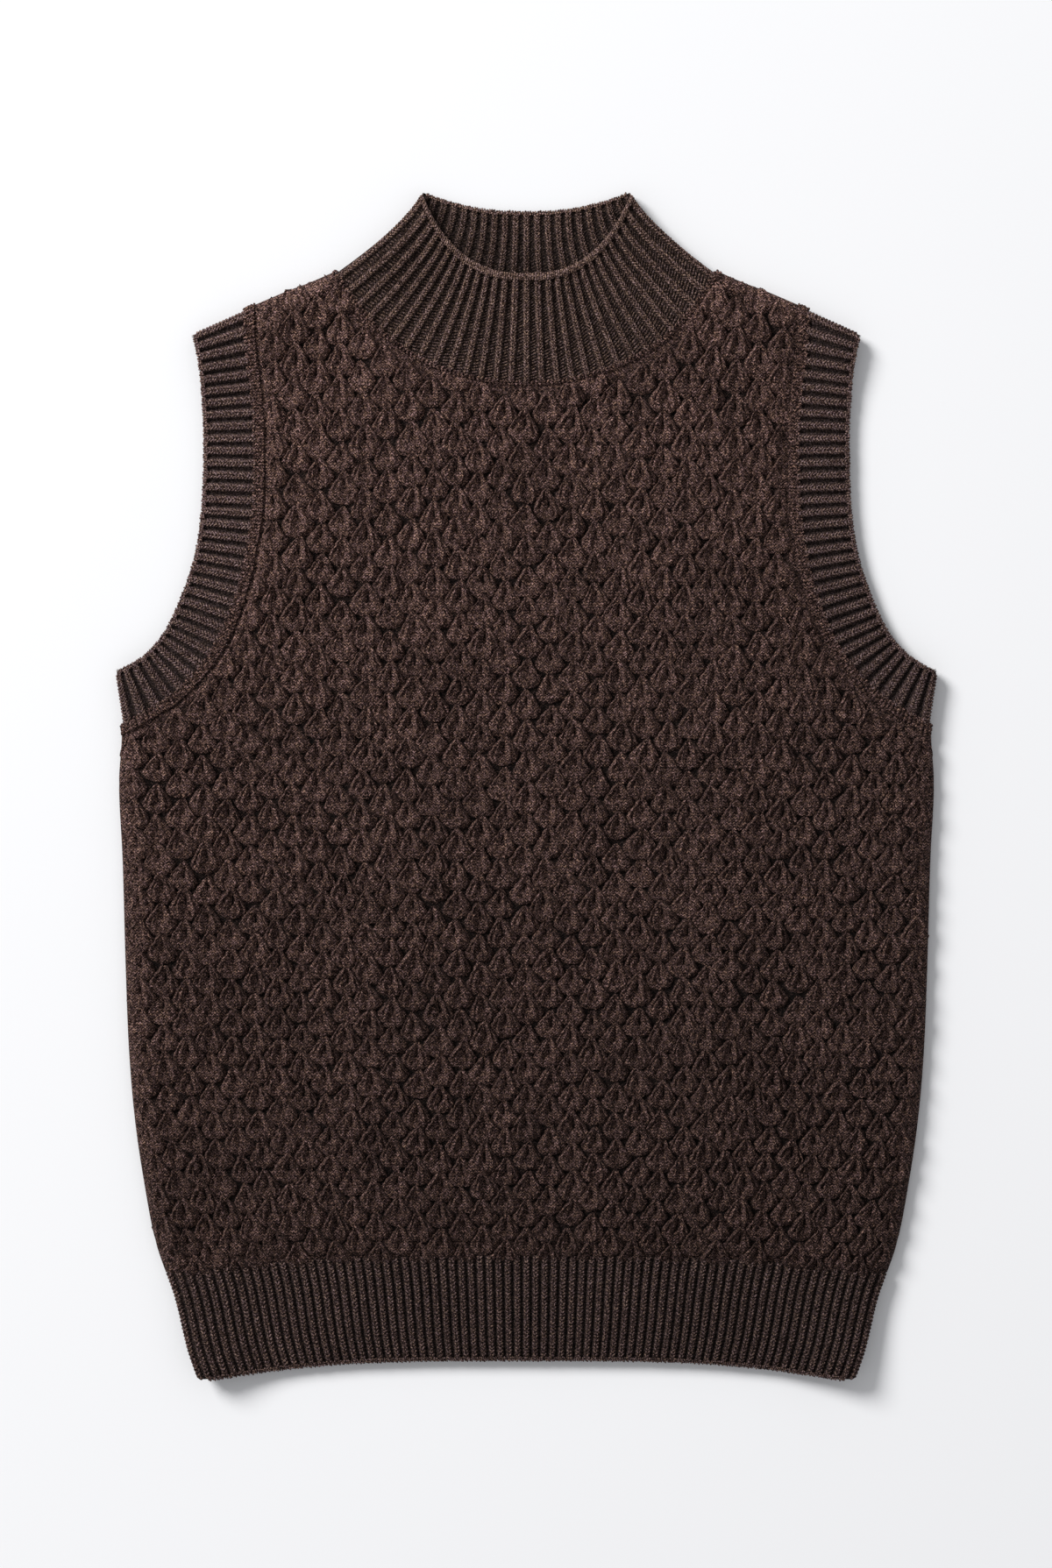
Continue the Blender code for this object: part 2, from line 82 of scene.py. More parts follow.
# Down the side fold, from the hem's corner to the underarm.
Side = namedtuple("Side", "height half_width")
SIDE_FOLD = (
    Side(-374.5, 207.5),
    Side(-356.0, 214.4),
    Side(-323.0, 223.0),
    Side(-290.0, 234.3),
    Side(-257.0, 241.0),
    Side(-213.0, 247.6),
    Side(-168.0, 251.5),
    Side(-113.0, 253.7),
    Side(-47.0, 255.6),
    Side(0.0, 257.8),
    Side(36.5, 256.0),
    Side(70.2, 259.8),
)

# The hem band's free edge and its seam, by distance from the middle.
Hem = namedtuple("Hem", "across edge seam")
HEM = (
    Hem(0.0, -363.1, -297.0),
    Hem(60.0, -363.3, -297.4),
    Hem(110.0, -364.9, -298.6),
    Hem(143.0, -367.6, -300.4),
    Hem(176.0, -371.4, -303.0),
    Hem(199.0, -374.0, -305.4),
    Hem(235.0, -374.5, -309.0),
)

# Armhole band, from the shoulder (0) to the underarm (1): its open edge and its seam.
Band = namedtuple("Band", "share open_x open_y seam_x seam_y")
BAND = (
    Band(0.000, 210.3, 285.4, 177.3, 301.0),
    Band(0.085, 206.4, 266.6, 176.1, 272.4),
    Band(0.171, 204.2, 245.2, 172.9, 248.5),
    Band(0.288, 203.1, 216.1, 171.2, 216.1),
    Band(0.437, 204.2, 177.6, 172.1, 176.0),
    Band(0.553, 207.8, 149.2, 176.6, 144.2),
    Band(0.653, 214.7, 125.4, 183.7, 116.6),
    Band(0.776, 226.5, 98.4, 198.6, 84.0),
    Band(0.873, 238.3, 83.3, 219.1, 59.6),
    Band(0.937, 249.5, 75.3, 236.2, 47.6),
    Band(1.000, 259.8, 70.2, 256.0, 36.5),
)

# Over the shoulder, from the collar to the armhole band.
Shoulder = namedtuple("Shoulder", "across height")
SHOULDER = (
    Shoulder(121.3, 324.4),
    Shoulder(136.0, 317.9),
    Shoulder(152.0, 311.8),
    Shoulder(177.3, 301.0),
)

# Collar, from the middle (0) to its side fold (1): its rim and its seam. The power of flare bends
# the ribs outwards towards the seam.
Collar = namedtuple("Collar", "share rim_x rim_y seam_x seam_y flare")
COLLAR_FRONT = (
    Collar(0.000, 0.0, 321.6, 0.0, 253.4, 1.10),
    Collar(0.138, 13.3, 322.3, 19.3, 254.6, 1.10),
    Collar(0.276, 24.2, 325.0, 38.4, 258.4, 1.10),
    Collar(0.414, 34.0, 329.7, 58.0, 265.0, 1.12),
    Collar(0.552, 43.0, 336.6, 76.5, 274.6, 1.15),
    Collar(0.690, 51.0, 345.2, 92.4, 287.0, 1.18),
    Collar(0.828, 58.5, 356.4, 105.8, 302.4, 1.24),
    Collar(1.000, 67.2, 374.4, 121.3, 324.4, 1.30),
)
COLLAR_BACK = (
    Collar(0.000, 0.0, 361.4, 0.0, 293.4, 2.20),
    Collar(0.330, 23.0, 362.6, 41.0, 295.6, 2.20),
    Collar(0.660, 45.0, 366.9, 82.0, 304.6, 1.80),
    Collar(1.000, 67.2, 374.4, 121.3, 324.4, 1.30),
)

# Broad soft ridges in the upper layer. Each runs from top to bottom and leans by its shift.
Ridge = namedtuple("Ridge", "x shift top bottom half_width rise")
RIDGES = (
    Ridge(-58.0, -18.0, 240.0, -345.0, 42.0, 2.2),
    Ridge(119.0, 3.0, 100.0, -345.0, 26.0, 2.6),
    Ridge(210.0, -8.0, 85.0, -320.0, 28.0, 1.5),
    Ridge(-221.0, 6.0, 95.0, -290.0, 26.0, 1.7),
    Ridge(-128.0, 14.0, 250.0, 90.0, 40.0, 1.4),
    Ridge(52.0, 10.0, -215.0, -350.0, 24.0, 1.6),
)
RIDGE_FADE = 55.0  # the ends of a ridge sink over this length

# How many points the lines of the folds and of the collar's seam and rim get.
SIDE_POINTS = 81
BAND_FOLD_POINTS = 7
SHOULDER_POINTS = 13
COLLAR_FOLD_POINTS = 17
COLLAR_POINTS = 61
SEAM_ROUNDS = 4  # after so many steps, the place where the hem's seam ends is settled
TINY = 1e-9  # keeps a division from one by 0


# Plan of the garment -------------------------------------------------------------------------------


def smooth(rows, key, column, at):
    """The values of a column at places along the key column, on a smooth curve through the rows."""
    keys = np.array([getattr(row, key) for row in rows])
    values = np.array([getattr(row, column) for row in rows])
    before = np.maximum(np.arange(len(keys)) - 1, 0)
    after = np.minimum(np.arange(len(keys)) + 1, len(keys) - 1)
    slopes = (values[after] - values[before]) / (keys[after] - keys[before])
    at = np.clip(at, keys[0], keys[-1])
    low = np.clip(np.searchsorted(keys, at, side="right") - 1, 0, len(keys) - 2)
    span = keys[low + 1] - keys[low]
    t = (at - keys[low]) / span
    rise = values[low + 1] - values[low]
    start = slopes[low] * span
    end = slopes[low + 1] * span
    return values[low] + t * (start + t * (3 * rise - 2 * start - end + t * (start + end - 2 * rise)))


def ease(value):
    """0 below 0 and 1 above 1, with a smooth step between."""
    value = np.clip(value, 0.0, 1.0)
    return value * value * (3 - 2 * value)


def plan(x, y):
    """Plan points from their x and their y."""
    return np.stack(np.broadcast_arrays(np.asarray(x, float), np.asarray(y, float)), axis=-1)


def side_half_width(height):
    """From the middle out to the side fold."""
    return smooth(SIDE_FOLD, "height", "half_width", height)


def hem_seam(across):
    """Height of the seam between the hem band and the body."""
    return smooth(HEM, "across", "seam", np.abs(across))


def hem_edge(across):
    """Height of the hem's free edge."""
    return smooth(HEM, "across", "edge", np.abs(across))


def hem_seam_end():
    """Height at which the hem seam meets the side fold."""
    height = HEM[-1].seam
    for _ in range(SEAM_ROUNDS):
        height = float(hem_seam(side_half_width(height)))
    return height


def shoulder_height(across):
    """Height of the left shoulder's fold."""
    return smooth(SHOULDER, "across", "height", across)


def band_point(share, out):
    """A plan point of the left armhole band: out is 0 at the seam and 1 at the open edge."""
    seam = plan(smooth(BAND, "share", "seam_x", share), smooth(BAND, "share", "seam_y", share))
    edge = plan(smooth(BAND, "share", "open_x", share), smooth(BAND, "share", "open_y", share))
    return seam + (edge - seam) * np.asarray(out)[..., None]


def collar_point(rows, share, down):
    """A plan point of the collar: share is -1 to 1 from side to side, down is 0 at the rim."""
    part = np.abs(share)
    rim_x = smooth(rows, "share", "rim_x", part)
    seam_x = smooth(rows, "share", "seam_x", part)
    rim_y = smooth(rows, "share", "rim_y", part)
    seam_y = smooth(rows, "share", "seam_y", part)
    flare = smooth(rows, "share", "flare", part)
    x = rim_x + (seam_x - rim_x) * np.maximum(down, 0.0) ** flare
    return plan(np.sign(share) * x, rim_y + (seam_y - rim_y) * down)


def side_fold_line():
    """Up the left side, from the hem's corner to the underarm."""
    heights = np.linspace(SIDE_FOLD[0].height, SIDE_FOLD[-1].height, SIDE_POINTS)
    return plan(side_half_width(heights), heights)


def shoulder_fold_line():
    """Up the band's fold, along the shoulder and up the side of the collar."""
    band = band_point(np.zeros(BAND_FOLD_POINTS), np.linspace(1.0, 0.0, BAND_FOLD_POINTS))
    across = np.linspace(SHOULDER[-1].across, SHOULDER[0].across, SHOULDER_POINTS)[1:]
    shoulder = plan(across, shoulder_height(across))
    down = np.linspace(1.0, 0.0, COLLAR_FOLD_POINTS)[1:]
    neck = collar_point(COLLAR_FRONT, np.ones(len(down)), down)
    return np.concatenate([band, shoulder, neck])


def mirrored(line):
    """A line of the garment's left half on its right half."""
    return line * (-1.0, 1.0)


def flip(points):
    """What turns plan points of the garment's right half over to its left half, and back again."""
    return plan(np.where(points[:, 0] < 0, -1.0, 1.0), 1.0)


def nearest(points, line):
    """Distances from plan points to a line, the nearest places on it and the way it runs there."""
    best = np.full(len(points), np.inf)
    foot = np.zeros_like(points)
    way = np.zeros_like(points)
    for start, run in zip(line[:-1], np.diff(line, axis=0)):
        share = np.clip((points - start) @ run / (run @ run), 0.0, 1.0)
        place = start + share[:, None] * run
        away = np.hypot(*(points - place).T)
        closer = away < best
        best[closer] = away[closer]
        foot[closer] = place[closer]
        way[closer] = run
    return best, foot, way


HALF_FOLDS = (side_fold_line(), shoulder_fold_line())


def fold_beside(points):
    """The nearest fold's crest: distance, place, the way out to it, and whether a point is past it."""
    turn = flip(points)
    half = points * turn
    away, foot, way = nearest(half, HALF_FOLDS[0])
    for line in HALF_FOLDS[1:]:
        other = nearest(half, line)
        closer = other[0] < away
        away[closer], foot[closer], way[closer] = (found[closer] for found in other)
    to_foot = foot - half
    past = way[:, 0] * -to_foot[:, 1] + way[:, 1] * to_foot[:, 0] < 0
    square = plan(way[:, 1], -way[:, 0])
    outward = np.where((away < ON_FOLD)[:, None], square, to_foot * np.where(past, -1.0, 1.0)[:, None])
    outward /= np.maximum(np.hypot(*outward.T), TINY)[:, None]
    return away, foot * turn, outward * turn, past & (away >= ON_FOLD)


def ridge_rise(points):
    """How much the soft ridges raise the upper layer."""
    rise = np.zeros(len(points))
    for ridge in RIDGES:
        run = (ridge.top - points[:, 1]) / (ridge.top - ridge.bottom)
        across = (points[:, 0] - ridge.x - ridge.shift * run) / ridge.half_width
        above = ease((points[:, 1] - ridge.bottom) / RIDGE_FADE)
        below = ease((ridge.top - points[:, 1]) / RIDGE_FADE)
        rise += ridge.rise * (below * above) * np.exp(-across * across)
    return rise


def corner_lift(points):
    """How much the hem's corners curl up."""
    corner = (SIDE_FOLD[0].half_width, SIDE_FOLD[0].height)
    away = np.hypot(np.abs(points[:, 0]) - corner[0], points[:, 1] - corner[1])
    return CORNER_LIFT * np.maximum(1 - away / CORNER_REACH, 0.0) ** 2


def upper_top(points, away):
    """Height of the upper layer's plain outer face."""
    swell = FOLD_SWELL * np.exp(-((np.maximum(away - FOLD_REACH, 0.0) / SWELL_REACH) ** 2))
    from_neck = np.hypot(points[:, 0], points[:, 1] - NECK_MIDDLE) / COLLAR_LIFT_REACH
    lift = COLLAR_LIFT * np.exp(-from_neck * from_neck)
    return LAID_TOP + swell + np.maximum(lift + ridge_rise(points) - swell * SWELL_SHARE, 0.0)


def lay(points, upper, height, sewn=True):
    """Where plan points come to lie, raised by height out of the cloth's plain outer face.

    Past a fold's crest the cloth goes on into the other layer.
    """
    away, foot, outward, past = fold_beside(points)
    points = np.where(past[:, None], 2 * foot - points, points)
    up = past != upper
    sign = np.where(up, 1.0, -1.0)
    level = np.where(up, upper_top(points, away), 0.0)
    crest = FOLD_CREST + (sign * SEAM_GAP / 2 if sewn else 0.0)
    turn = np.arccos(1 - np.minimum(away / FOLD_REACH, 1.0))
    top = crest + (level - crest) * np.sin(turn) + corner_lift(points)
    tilt = np.abs(level - crest) * np.cos(turn)
    normal = np.column_stack([outward * tilt[:, None], sign * FOLD_REACH * np.sin(turn)])
    normal /= np.linalg.norm(normal, axis=1)[:, None]
    laid = np.column_stack([points, top]) + normal * np.broadcast_to(height, len(points))[:, None]
    laid[:, 2] = np.maximum(laid[:, 2], 0.0)
    return laid


# Making meshes -------------------------------------------------------------------------------------


SHARP = math.radians(80)  # edges that fold more than this aren't smoothed over


def tidy_mesh(name, points, faces, scale=MM):
    """A mesh from points, with its faces turned outwards."""
    mesh = bmesh.new()
    corners = [mesh.verts.new(point) for point in np.asarray(points) * scale]
    for face in faces:
        mesh.faces.new([corners[number] for number in face]).smooth = True
    bmesh.ops.recalc_face_normals(mesh, faces=mesh.faces[:])
    for edge in mesh.edges:
        edge.smooth = edge.calc_face_angle(0.0) < SHARP
    data = bpy.data.meshes.new(name)
    mesh.to_mesh(data)
    mesh.free()
    return data


def mark(mesh, name, values):
    """Gives each point of a mesh a number that the wool's shader reads."""
    attribute = mesh.attributes.new(name, "FLOAT", "POINT")
    values = np.broadcast_to(values, len(mesh.vertices))
    attribute.data.foreach_set("value", values.astype(np.float32))


def show(name, data):
    """Puts a mesh, a light or a camera into the scene."""
    piece = bpy.data.objects.new(name, data)
    bpy.context.scene.collection.objects.link(piece)
    return piece


def cloth(name, outer, inner, faces, rise, wool):
    """A closed piece of cloth. rise is how far each outer point stands out of the knit's grooves."""
    mesh = tidy_mesh(name, np.concatenate([outer, inner]), faces)
    mark(mesh, "rise", np.concatenate([rise, np.zeros(len(inner))]))
    mark(mesh, "tone", EVEN_TONE)
    mesh.materials.append(wool)
    return show(name, mesh)


def wall_faces(stations, rows, closed):
    """Faces of a wall between two grids of points, station by station along it and row by row across."""
    under = stations * rows
    faces = []
    for i in range(stations if closed else stations - 1):
        here = i * rows
        there = (i + 1) % stations * rows
        for side in (0, under):
            for j in range(rows - 1):
                faces.append((side + here + j, side + there + j, side + there + j + 1, side + here + j + 1))
        for j in (0, rows - 1):
            faces.append((here + j, there + j, under + there + j, under + here + j))
    if not closed:
        for first in (0, (stations - 1) * rows):
            for j in range(first, first + rows - 1):
                faces.append((j, j + 1, under + j + 1, under + j))
    return faces


# Geometry Nodes ------------------------------------------------------------------------------------


def add(tree, kind, feeds=None, out=0, **settings):
    """Adds one node with its settings and gives one of its output sockets, or the node if out is None.

    feeds gives inputs their values, or the sockets that they are linked to.
    """
    node = tree.nodes.new(kind)
    for name, value in settings.items():
        setattr(node, name, value)
    for socket, value in (feeds or {}).items():
        if isinstance(value, bpy.types.NodeSocket):
            tree.links.new(value, node.inputs[socket])
        else:
            node.inputs[socket].default_value = value
    return node if out is None else node.outputs[out]


# Inputs that both trees have: how far shapes stray, their size, what they are and their wool.
SHARED_INPUTS = (
    ("Place Spread", "Float"),
    ("Turn Spread", "Float"),
    ("Tilt Spread", "Float"),
    ("Size", "Vector"),
    ("Size Spread", "Float"),
    ("Seed", "Int"),
    ("Shapes", "Collection"),
    ("Wool", "Material"),
)
MANY = 1000.0  # turns a chance of -1 to 1 into a number that picks one of the shapes


def new_tree(name, inputs):
    """A Geometry Nodes tree with named inputs, and the sockets that give them."""
    tree = bpy.data.node_groups.new(name, "GeometryNodeTree")
    for title, kind in (*inputs, *SHARED_INPUTS):
        tree.interface.new_socket(title, in_out="INPUT", socket_type="NodeSocket" + kind)
    tree.interface.new_socket("Geometry", in_out="OUTPUT", socket_type="NodeSocketGeometry")
    return tree, add(tree, "NodeGroupInput", out=None).outputs


def set_out(tree, given, points, lean):
    """The end of a tree: a shape on each point, each placed, turned, sized and toned a little apart."""
    low = (-1.0, -1.0, -1.0)
    high = (1.0, 1.0, 1.0)
    next_seed = add(tree, "ShaderNodeMath", {0: given["Seed"], 1: 1.0}, operation="ADD")
    draws = [
        add(tree, "FunctionNodeRandomValue", {0: low, 1: high, "Seed": seed}, data_type="FLOAT_VECTOR")
        for seed in (given["Seed"], next_seed)
    ]
    spread = add(tree, "ShaderNodeCombineXYZ", {0: given["Place Spread"], 1: given["Place Spread"]})
    offset = add(tree, "ShaderNodeVectorMath", {0: draws[0], 1: spread}, operation="MULTIPLY")
    moved = add(tree, "GeometryNodeSetPosition", {"Geometry": points, "Offset": offset})
    strays, chances = (add(tree, "ShaderNodeSeparateXYZ", {0: draw}, out=None).outputs for draw in draws)
    turn, swell = (
        add(tree, "ShaderNodeMath", {0: chance, 1: given[name], 2: usual}, operation="MULTIPLY_ADD")
        for chance, name, usual in ((strays[2], "Turn Spread", lean), (chances[0], "Size Spread", 1.0))
    )
    tilts = [
        add(tree, "ShaderNodeMath", {0: stray, 1: given["Tilt Spread"]}, operation="MULTIPLY")
        for stray in (strays[1], strays[0])
    ]
    shapes = {"Collection": given["Shapes"], "Separate Children": True}
    instances = {
        "Points": moved,
        "Instance": add(tree, "GeometryNodeCollectionInfo", shapes),
        "Pick Instance": True,
        "Instance Index": add(tree, "ShaderNodeMath", {0: chances[2], 1: MANY}, operation="MULTIPLY"),
        "Rotation": add(tree, "ShaderNodeCombineXYZ", {0: tilts[0], 1: tilts[1], 2: turn}),
        "Scale": add(tree, "ShaderNodeVectorMath", {0: given["Size"], "Scale": swell}, operation="SCALE"),
    }
    placed = add(tree, "GeometryNodeInstanceOnPoints", instances)
    tone = add(tree, "ShaderNodeMath", {0: chances[1], 1: 0.5, 2: 0.5}, operation="MULTIPLY_ADD")
    tones = {"Geometry": placed, "Name": "tone", "Value": tone}
    toned = add(tree, "GeometryNodeStoreNamedAttribute", tones, data_type="FLOAT", domain="INSTANCE")
    real = add(tree, "GeometryNodeRealizeInstances", {"Geometry": toned})
    dyed = add(tree, "GeometryNodeSetMaterial", {"Geometry": real, "Material": given["Wool"]})
    add(tree, "NodeGroupOutput", {"Geometry": dyed}, out=None)
    return tree


def stitch_tree():
    """Rows and columns of stitch legs. Their columns lean to the left and to the right in turn."""
    floats = ("Column Step", "Row Step", "Pair Shift", "Lean", "Slant")
    counts = (("Columns", "Int"), ("Rows", "Int"))
    tree, given = new_tree("stitch_rows", (*counts, *((title, "Float") for title in floats)))
    step = given["Column Step"]
    wide = add(tree, "ShaderNodeMath", {0: given["Columns"], 1: step}, operation="MULTIPLY")
    high = add(tree, "ShaderNodeMath", {0: given["Rows"], 1: given["Row Step"]}, operation="MULTIPLY")
    size = {
        "Size X": add(tree, "ShaderNodeMath", {0: wide, 1: step}, operation="SUBTRACT"),
        "Size Y": add(tree, "ShaderNodeMath", {0: high, 1: given["Row Step"]}, operation="SUBTRACT"),
        "Vertices X": given["Columns"],
        "Vertices Y": given["Rows"],
    }
    whole = add(tree, "ShaderNodeCombineXYZ", {0: wide, 1: high})
    half = add(tree, "ShaderNodeVectorMath", {0: whole, "Scale": 0.5}, operation="SCALE")
    grid = add(tree, "GeometryNodeMeshGrid", size)
    grid = add(tree, "GeometryNodeTransform", {"Geometry": grid, "Translation": half})
    place = add(tree, "ShaderNodeSeparateXYZ", {0: add(tree, "GeometryNodeInputPosition")})
    column = add(tree, "ShaderNodeMath", {0: place, 1: step}, operation="DIVIDE")
    swing = add(tree, "ShaderNodeMath", {0: column, 1: math.pi}, operation="MULTIPLY")
    turn = add(tree, "ShaderNodeMath", {0: swing}, operation="SINE")
    keep = add(tree, "GeometryNodeStoreNamedAttribute", {"Geometry": grid, "Name": "turn", "Value": turn})
    turn = add(tree, "GeometryNodeInputNamedAttribute", {"Name": "turn"})
    inwards = add(tree, "ShaderNodeMath", {0: turn, 1: given["Pair Shift"]}, operation="MULTIPLY")
    offset = add(tree, "ShaderNodeCombineXYZ", {0: inwards})
    paired = add(tree, "GeometryNodeSetPosition", {"Geometry": keep, "Offset": offset})
    leans = {0: turn, 1: given["Lean"], 2: given["Slant"]}
    lean = add(tree, "ShaderNodeMath", leans, operation="MULTIPLY_ADD")
    return set_out(tree, given, paired, lean)


def leaf_tree():
    """A leaf on each place that comes in."""
    tree, given = new_tree("leaf_rows", (("Places", "Geometry"),))
    return set_out(tree, given, given["Places"], 0.0)


def knit(name, tree, settings, places=()):
    """The flat mesh that a tree makes with the settings of its inputs, and with places if it takes them."""
    start = bpy.data.meshes.new(name)
    start.from_pydata([tuple(place) for place in places], [], [])
    piece = show(name, start)
    modifier = piece.modifiers.new("knitting", "NODES")
    modifier.node_group = tree
    for item in tree.interface.items_tree:
        if item.in_out == "INPUT" and item.name in settings:
            modifier[item.identifier] = settings[item.name]
    depsgraph = bpy.context.evaluated_depsgraph_get()
    mesh = bpy.data.meshes.new_from_object(piece.evaluated_get(depsgraph))
    piece.modifiers.remove(modifier)
    bpy.data.objects.remove(piece)
    return mesh


def put_down(name, mesh, chart, shade=None):
    """Shows a flat mesh on the garment, where a chart says that its flat points lie.

    shade gives the share of a flat point's rise that counts there.
    """
    flat = np.empty(len(mesh.vertices) * 3)
    mesh.vertices.foreach_get("co", flat)
    flat = flat.reshape(-1, 3)
    laid = chart(flat) * MM
    mesh.vertices.foreach_set("co", laid.astype(np.float32).ravel())
    if shade:
        rise = np.empty(len(flat), np.float32)
        mesh.attributes["rise"].data.foreach_get("value", rise)
        mesh.attributes["rise"].data.foreach_set("value", (rise * shade(flat)).astype(np.float32))
    mesh.update()
    mesh.name = name
    return show(name, mesh)


def shapes_of(name, meshes):
    """A collection that holds shapes to set out. It isn't in the scene itself."""
    collection = bpy.data.collections.new(name)
    for number, mesh in enumerate(meshes):
        collection.objects.link(bpy.data.objects.new(f"{name}_{number}", mesh))
    return collection


# Shapes of a stitch and of a leaf ------------------------------------------------------------------

GRAIN_SIDES = 5
GRAIN_TIPS = (-0.12, 0.02)  # heights of its ends
GRAIN_RINGS = ((-0.28, 0.46), (0.22, 0.5))  # place along the leg, and its radius there
GRAIN_SWELL = (0.9, 1.08)  # how unevenly it is spun
GRAIN_SHAPES = 3


def grain(name, chance):
    """One leg of a stitch, a grain of yarn: 1 across, 1 along y and 1 thick."""
    points = [(0.0, -0.5, GRAIN_TIPS[0])]
    for along, radius in GRAIN_RINGS:
        for turn in np.linspace(0, 2 * math.pi, GRAIN_SIDES, endpoint=False):
            wide = radius * chance.uniform(*GRAIN_SWELL)
            points.append((wide * math.sin(turn), along, wide * math.cos(turn)))
    points.append((0.0, 0.5, GRAIN_TIPS[1]))
    faces = []
    for i in range(1, GRAIN_SIDES + 1):
        after = i % GRAIN_SIDES + 1
        faces.append((0, after, i))
        faces.append((i, after, GRAIN_SIDES + after, GRAIN_SIDES + i))
        faces.append((GRAIN_SIDES + i, GRAIN_SIDES + after, 1 + 2 * GRAIN_SIDES))
    mesh = tidy_mesh(name, points, faces, scale=1.0)
    mark(mesh, "rise", [0.5 + point[2] for point in points])
    return mesh


LEAF_PITCH = 14.6  # flat size of a leaf: between columns, and from one to the next in a column
LEAF_PERIOD = 18.0
SINK = 0.9  # the edges of a leaf go this far into the cloth

# Down a leaf from its tip, in shares of its height: its half width, and the heights of its arms, of the
# valleys inside them, of its two lobes, of the brink of the slit and of its middle, in millimetres.
Leaf = namedtuple("Leaf", "down half_width arm valley lobe brink middle")
LEAF = (
    Leaf(-0.05, 1.1, -0.7, -0.7, -0.7, -0.7, -0.7),
    Leaf(0.02, 2.3, 3.2, 3.1, 3.0, 2.8, 2.5),
    Leaf(0.11, 3.9, 4.4, 3.8, 3.5, 3.3, 2.9),
    Leaf(0.21, 5.4, 4.9, 3.7, 3.6, 3.4, 1.6),
    Leaf(0.33, 7.1, 5.1, 3.4, 4.3, 3.3, 0.0),
    Leaf(0.45, 8.6, 4.9, 2.9, 4.5, 3.0, -0.3),
    Leaf(0.56, 9.8, 4.1, 2.4, 4.4, 2.2, 0.4),
    Leaf(0.68, 10.9, 2.4, 2.2, 4.1, 1.6, 2.9),
    Leaf(0.80, 10.4, 1.8, 2.0, 3.6, 1.4, 3.5),
    Leaf(0.93, 9.0, 1.4, 1.7, 2.9, 1.2, 3.1),
    Leaf(1.04, 5.6, -0.6, -0.5, 0.3, 1.0, 2.2),
)
LEAF_PARTS = ("arm", "valley", "lobe", "brink")
ARM_IN = 1.9  # the arms lie this far in from the leaf's rim, and less where it is narrow
ARM_SHARE = 0.4
LOBE_PLACE = 0.45  # shares of the half width at which the lobes and the brinks of the slit lie
BRINK_PLACE = 0.25
SKEW = 0.9  # how far a leaf's middle strays to a side, and how far its whole length leans
LEAN = 1.0
SWELL = (0.82, 1.08)  # how unevenly its arms and lobes are filled
SLIT = (-0.4, 1.2)  # how far its slit closes, and between which shares of its height
SLIT_SPAN = (0.2, 0.6)
LUMP = 0.75  # how unevenly its surface swells, and strays in plan
STRAY = 0.55
LEAF_SHAPES = 12


def across_leaf(half_width):
    """How far from a leaf's middle its arms, valleys, lobes and the brinks of its slit lie."""
    arm = half_width - min(ARM_IN, ARM_SHARE * half_width)
    lobe = LOBE_PLACE * half_width
    return arm, (arm + lobe) / 2, lobe, BRINK_PLACE * half_width


def leaf(name, chance, fine=True):
    """A puffed leaf: two arms part at its tip over two lobes, with a slit between them."""
    middle = chance.uniform(-SKEW, SKEW)
    slit = chance.uniform(*SLIT)
    swell = {(side, part): chance.uniform(*SWELL) for side in (-1, 1) for part in LEAF_PARTS}
    lean = chance.uniform(-LEAN, LEAN)
    step = 1 if fine else 2
    down = LEAF[::step]
    points = []
    for row in down:
        line = [(side * (row.half_width + chance.uniform(-STRAY, STRAY)), -SINK) for side in (-1, 1)]
        line.append((0.0, row.middle + slit * (SLIT_SPAN[0] < row.down < SLIT_SPAN[1])))
        for place, part in list(zip(across_leaf(row.half_width), LEAF_PARTS))[::step]:
            line += [(side * place, getattr(row, part) * swell[side, part]) for side in (-1, 1)]
        for x, height in sorted(line):
            inner = max(1 - abs(x) / row.half_width, 0.0)
            x += middle * inner + lean * (0.5 - row.down)
            height += chance.uniform(-LUMP, LUMP) * (height > 0)
            x += chance.uniform(-STRAY, STRAY) * (0 < inner < 1)
            wave = chance.uniform(-STRAY, STRAY) * (inner > 0)
            points.append((x, (0.5 - row.down) * LEAF_PERIOD + wave, max(height, -SINK)))
    rows, columns = len(down), len(line)
    faces = []
    for i in range(rows - 1):
        for j in range(columns - 1):
            here = i * columns + j
            faces.append((here, here + 1, here + 1 + columns, here + columns))
    rim = list(range(columns))
    rim += [(i + 1) * columns - 1 for i in range(1, rows)]
    rim += [(rows - 1) * columns + j for j in range(columns - 2, -1, -1)]
    rim += [i * columns for i in range(rows - 2, 0, -1)]
    faces.append(rim)
    mesh = tidy_mesh(name, points, faces, scale=1.0)
    top = max(row.lobe for row in LEAF)
    mark(mesh, "rise", [(point[2] + SINK) / (top + SINK) for point in points])
    return mesh


# Wool ----------------------------------------------------------------------------------------------


def linear(colour):
    """An sRGB hex colour as the linear values that a shader takes."""
    parts = [int(colour[i : i + 2], 16) / 255 for i in (0, 2, 4)]
    return [part / 12.92 if part <= 0.04045 else ((part + 0.055) / 1.055) ** 2.4 for part in parts] + [1.0]


def matt(name, settings):
    """A new material and its shader, with settings on the shader's own sockets."""
    material = bpy.data.materials.new(name)
    material.use_nodes = True
    shader = material.node_tree.nodes["Principled BSDF"]
    for socket, value in settings.items():
        shader.inputs[socket].default_value = value
    return material, shader


# Sizes of the wool's own patterns, in metres.
STROKE = 0.0009  # a tuft of heathered fibre in the yarn
FIBRE = 0.00035
LOT = 0.0016  # tufts from different dye lots, some with an olive cast and some with a mauve one
PATCH = 0.045  # broad unevenness of the dye
LEG_WIDTH = 0.0011  # the fine stitches of the leaves: columns of legs, two for each stitch
LEG_ROW = 0.0018
WARP = 0.0022  # how far these stitches stray, and from place to place
WARP_SIZE = 0.004
BUMP_DEPTH = 0.0002

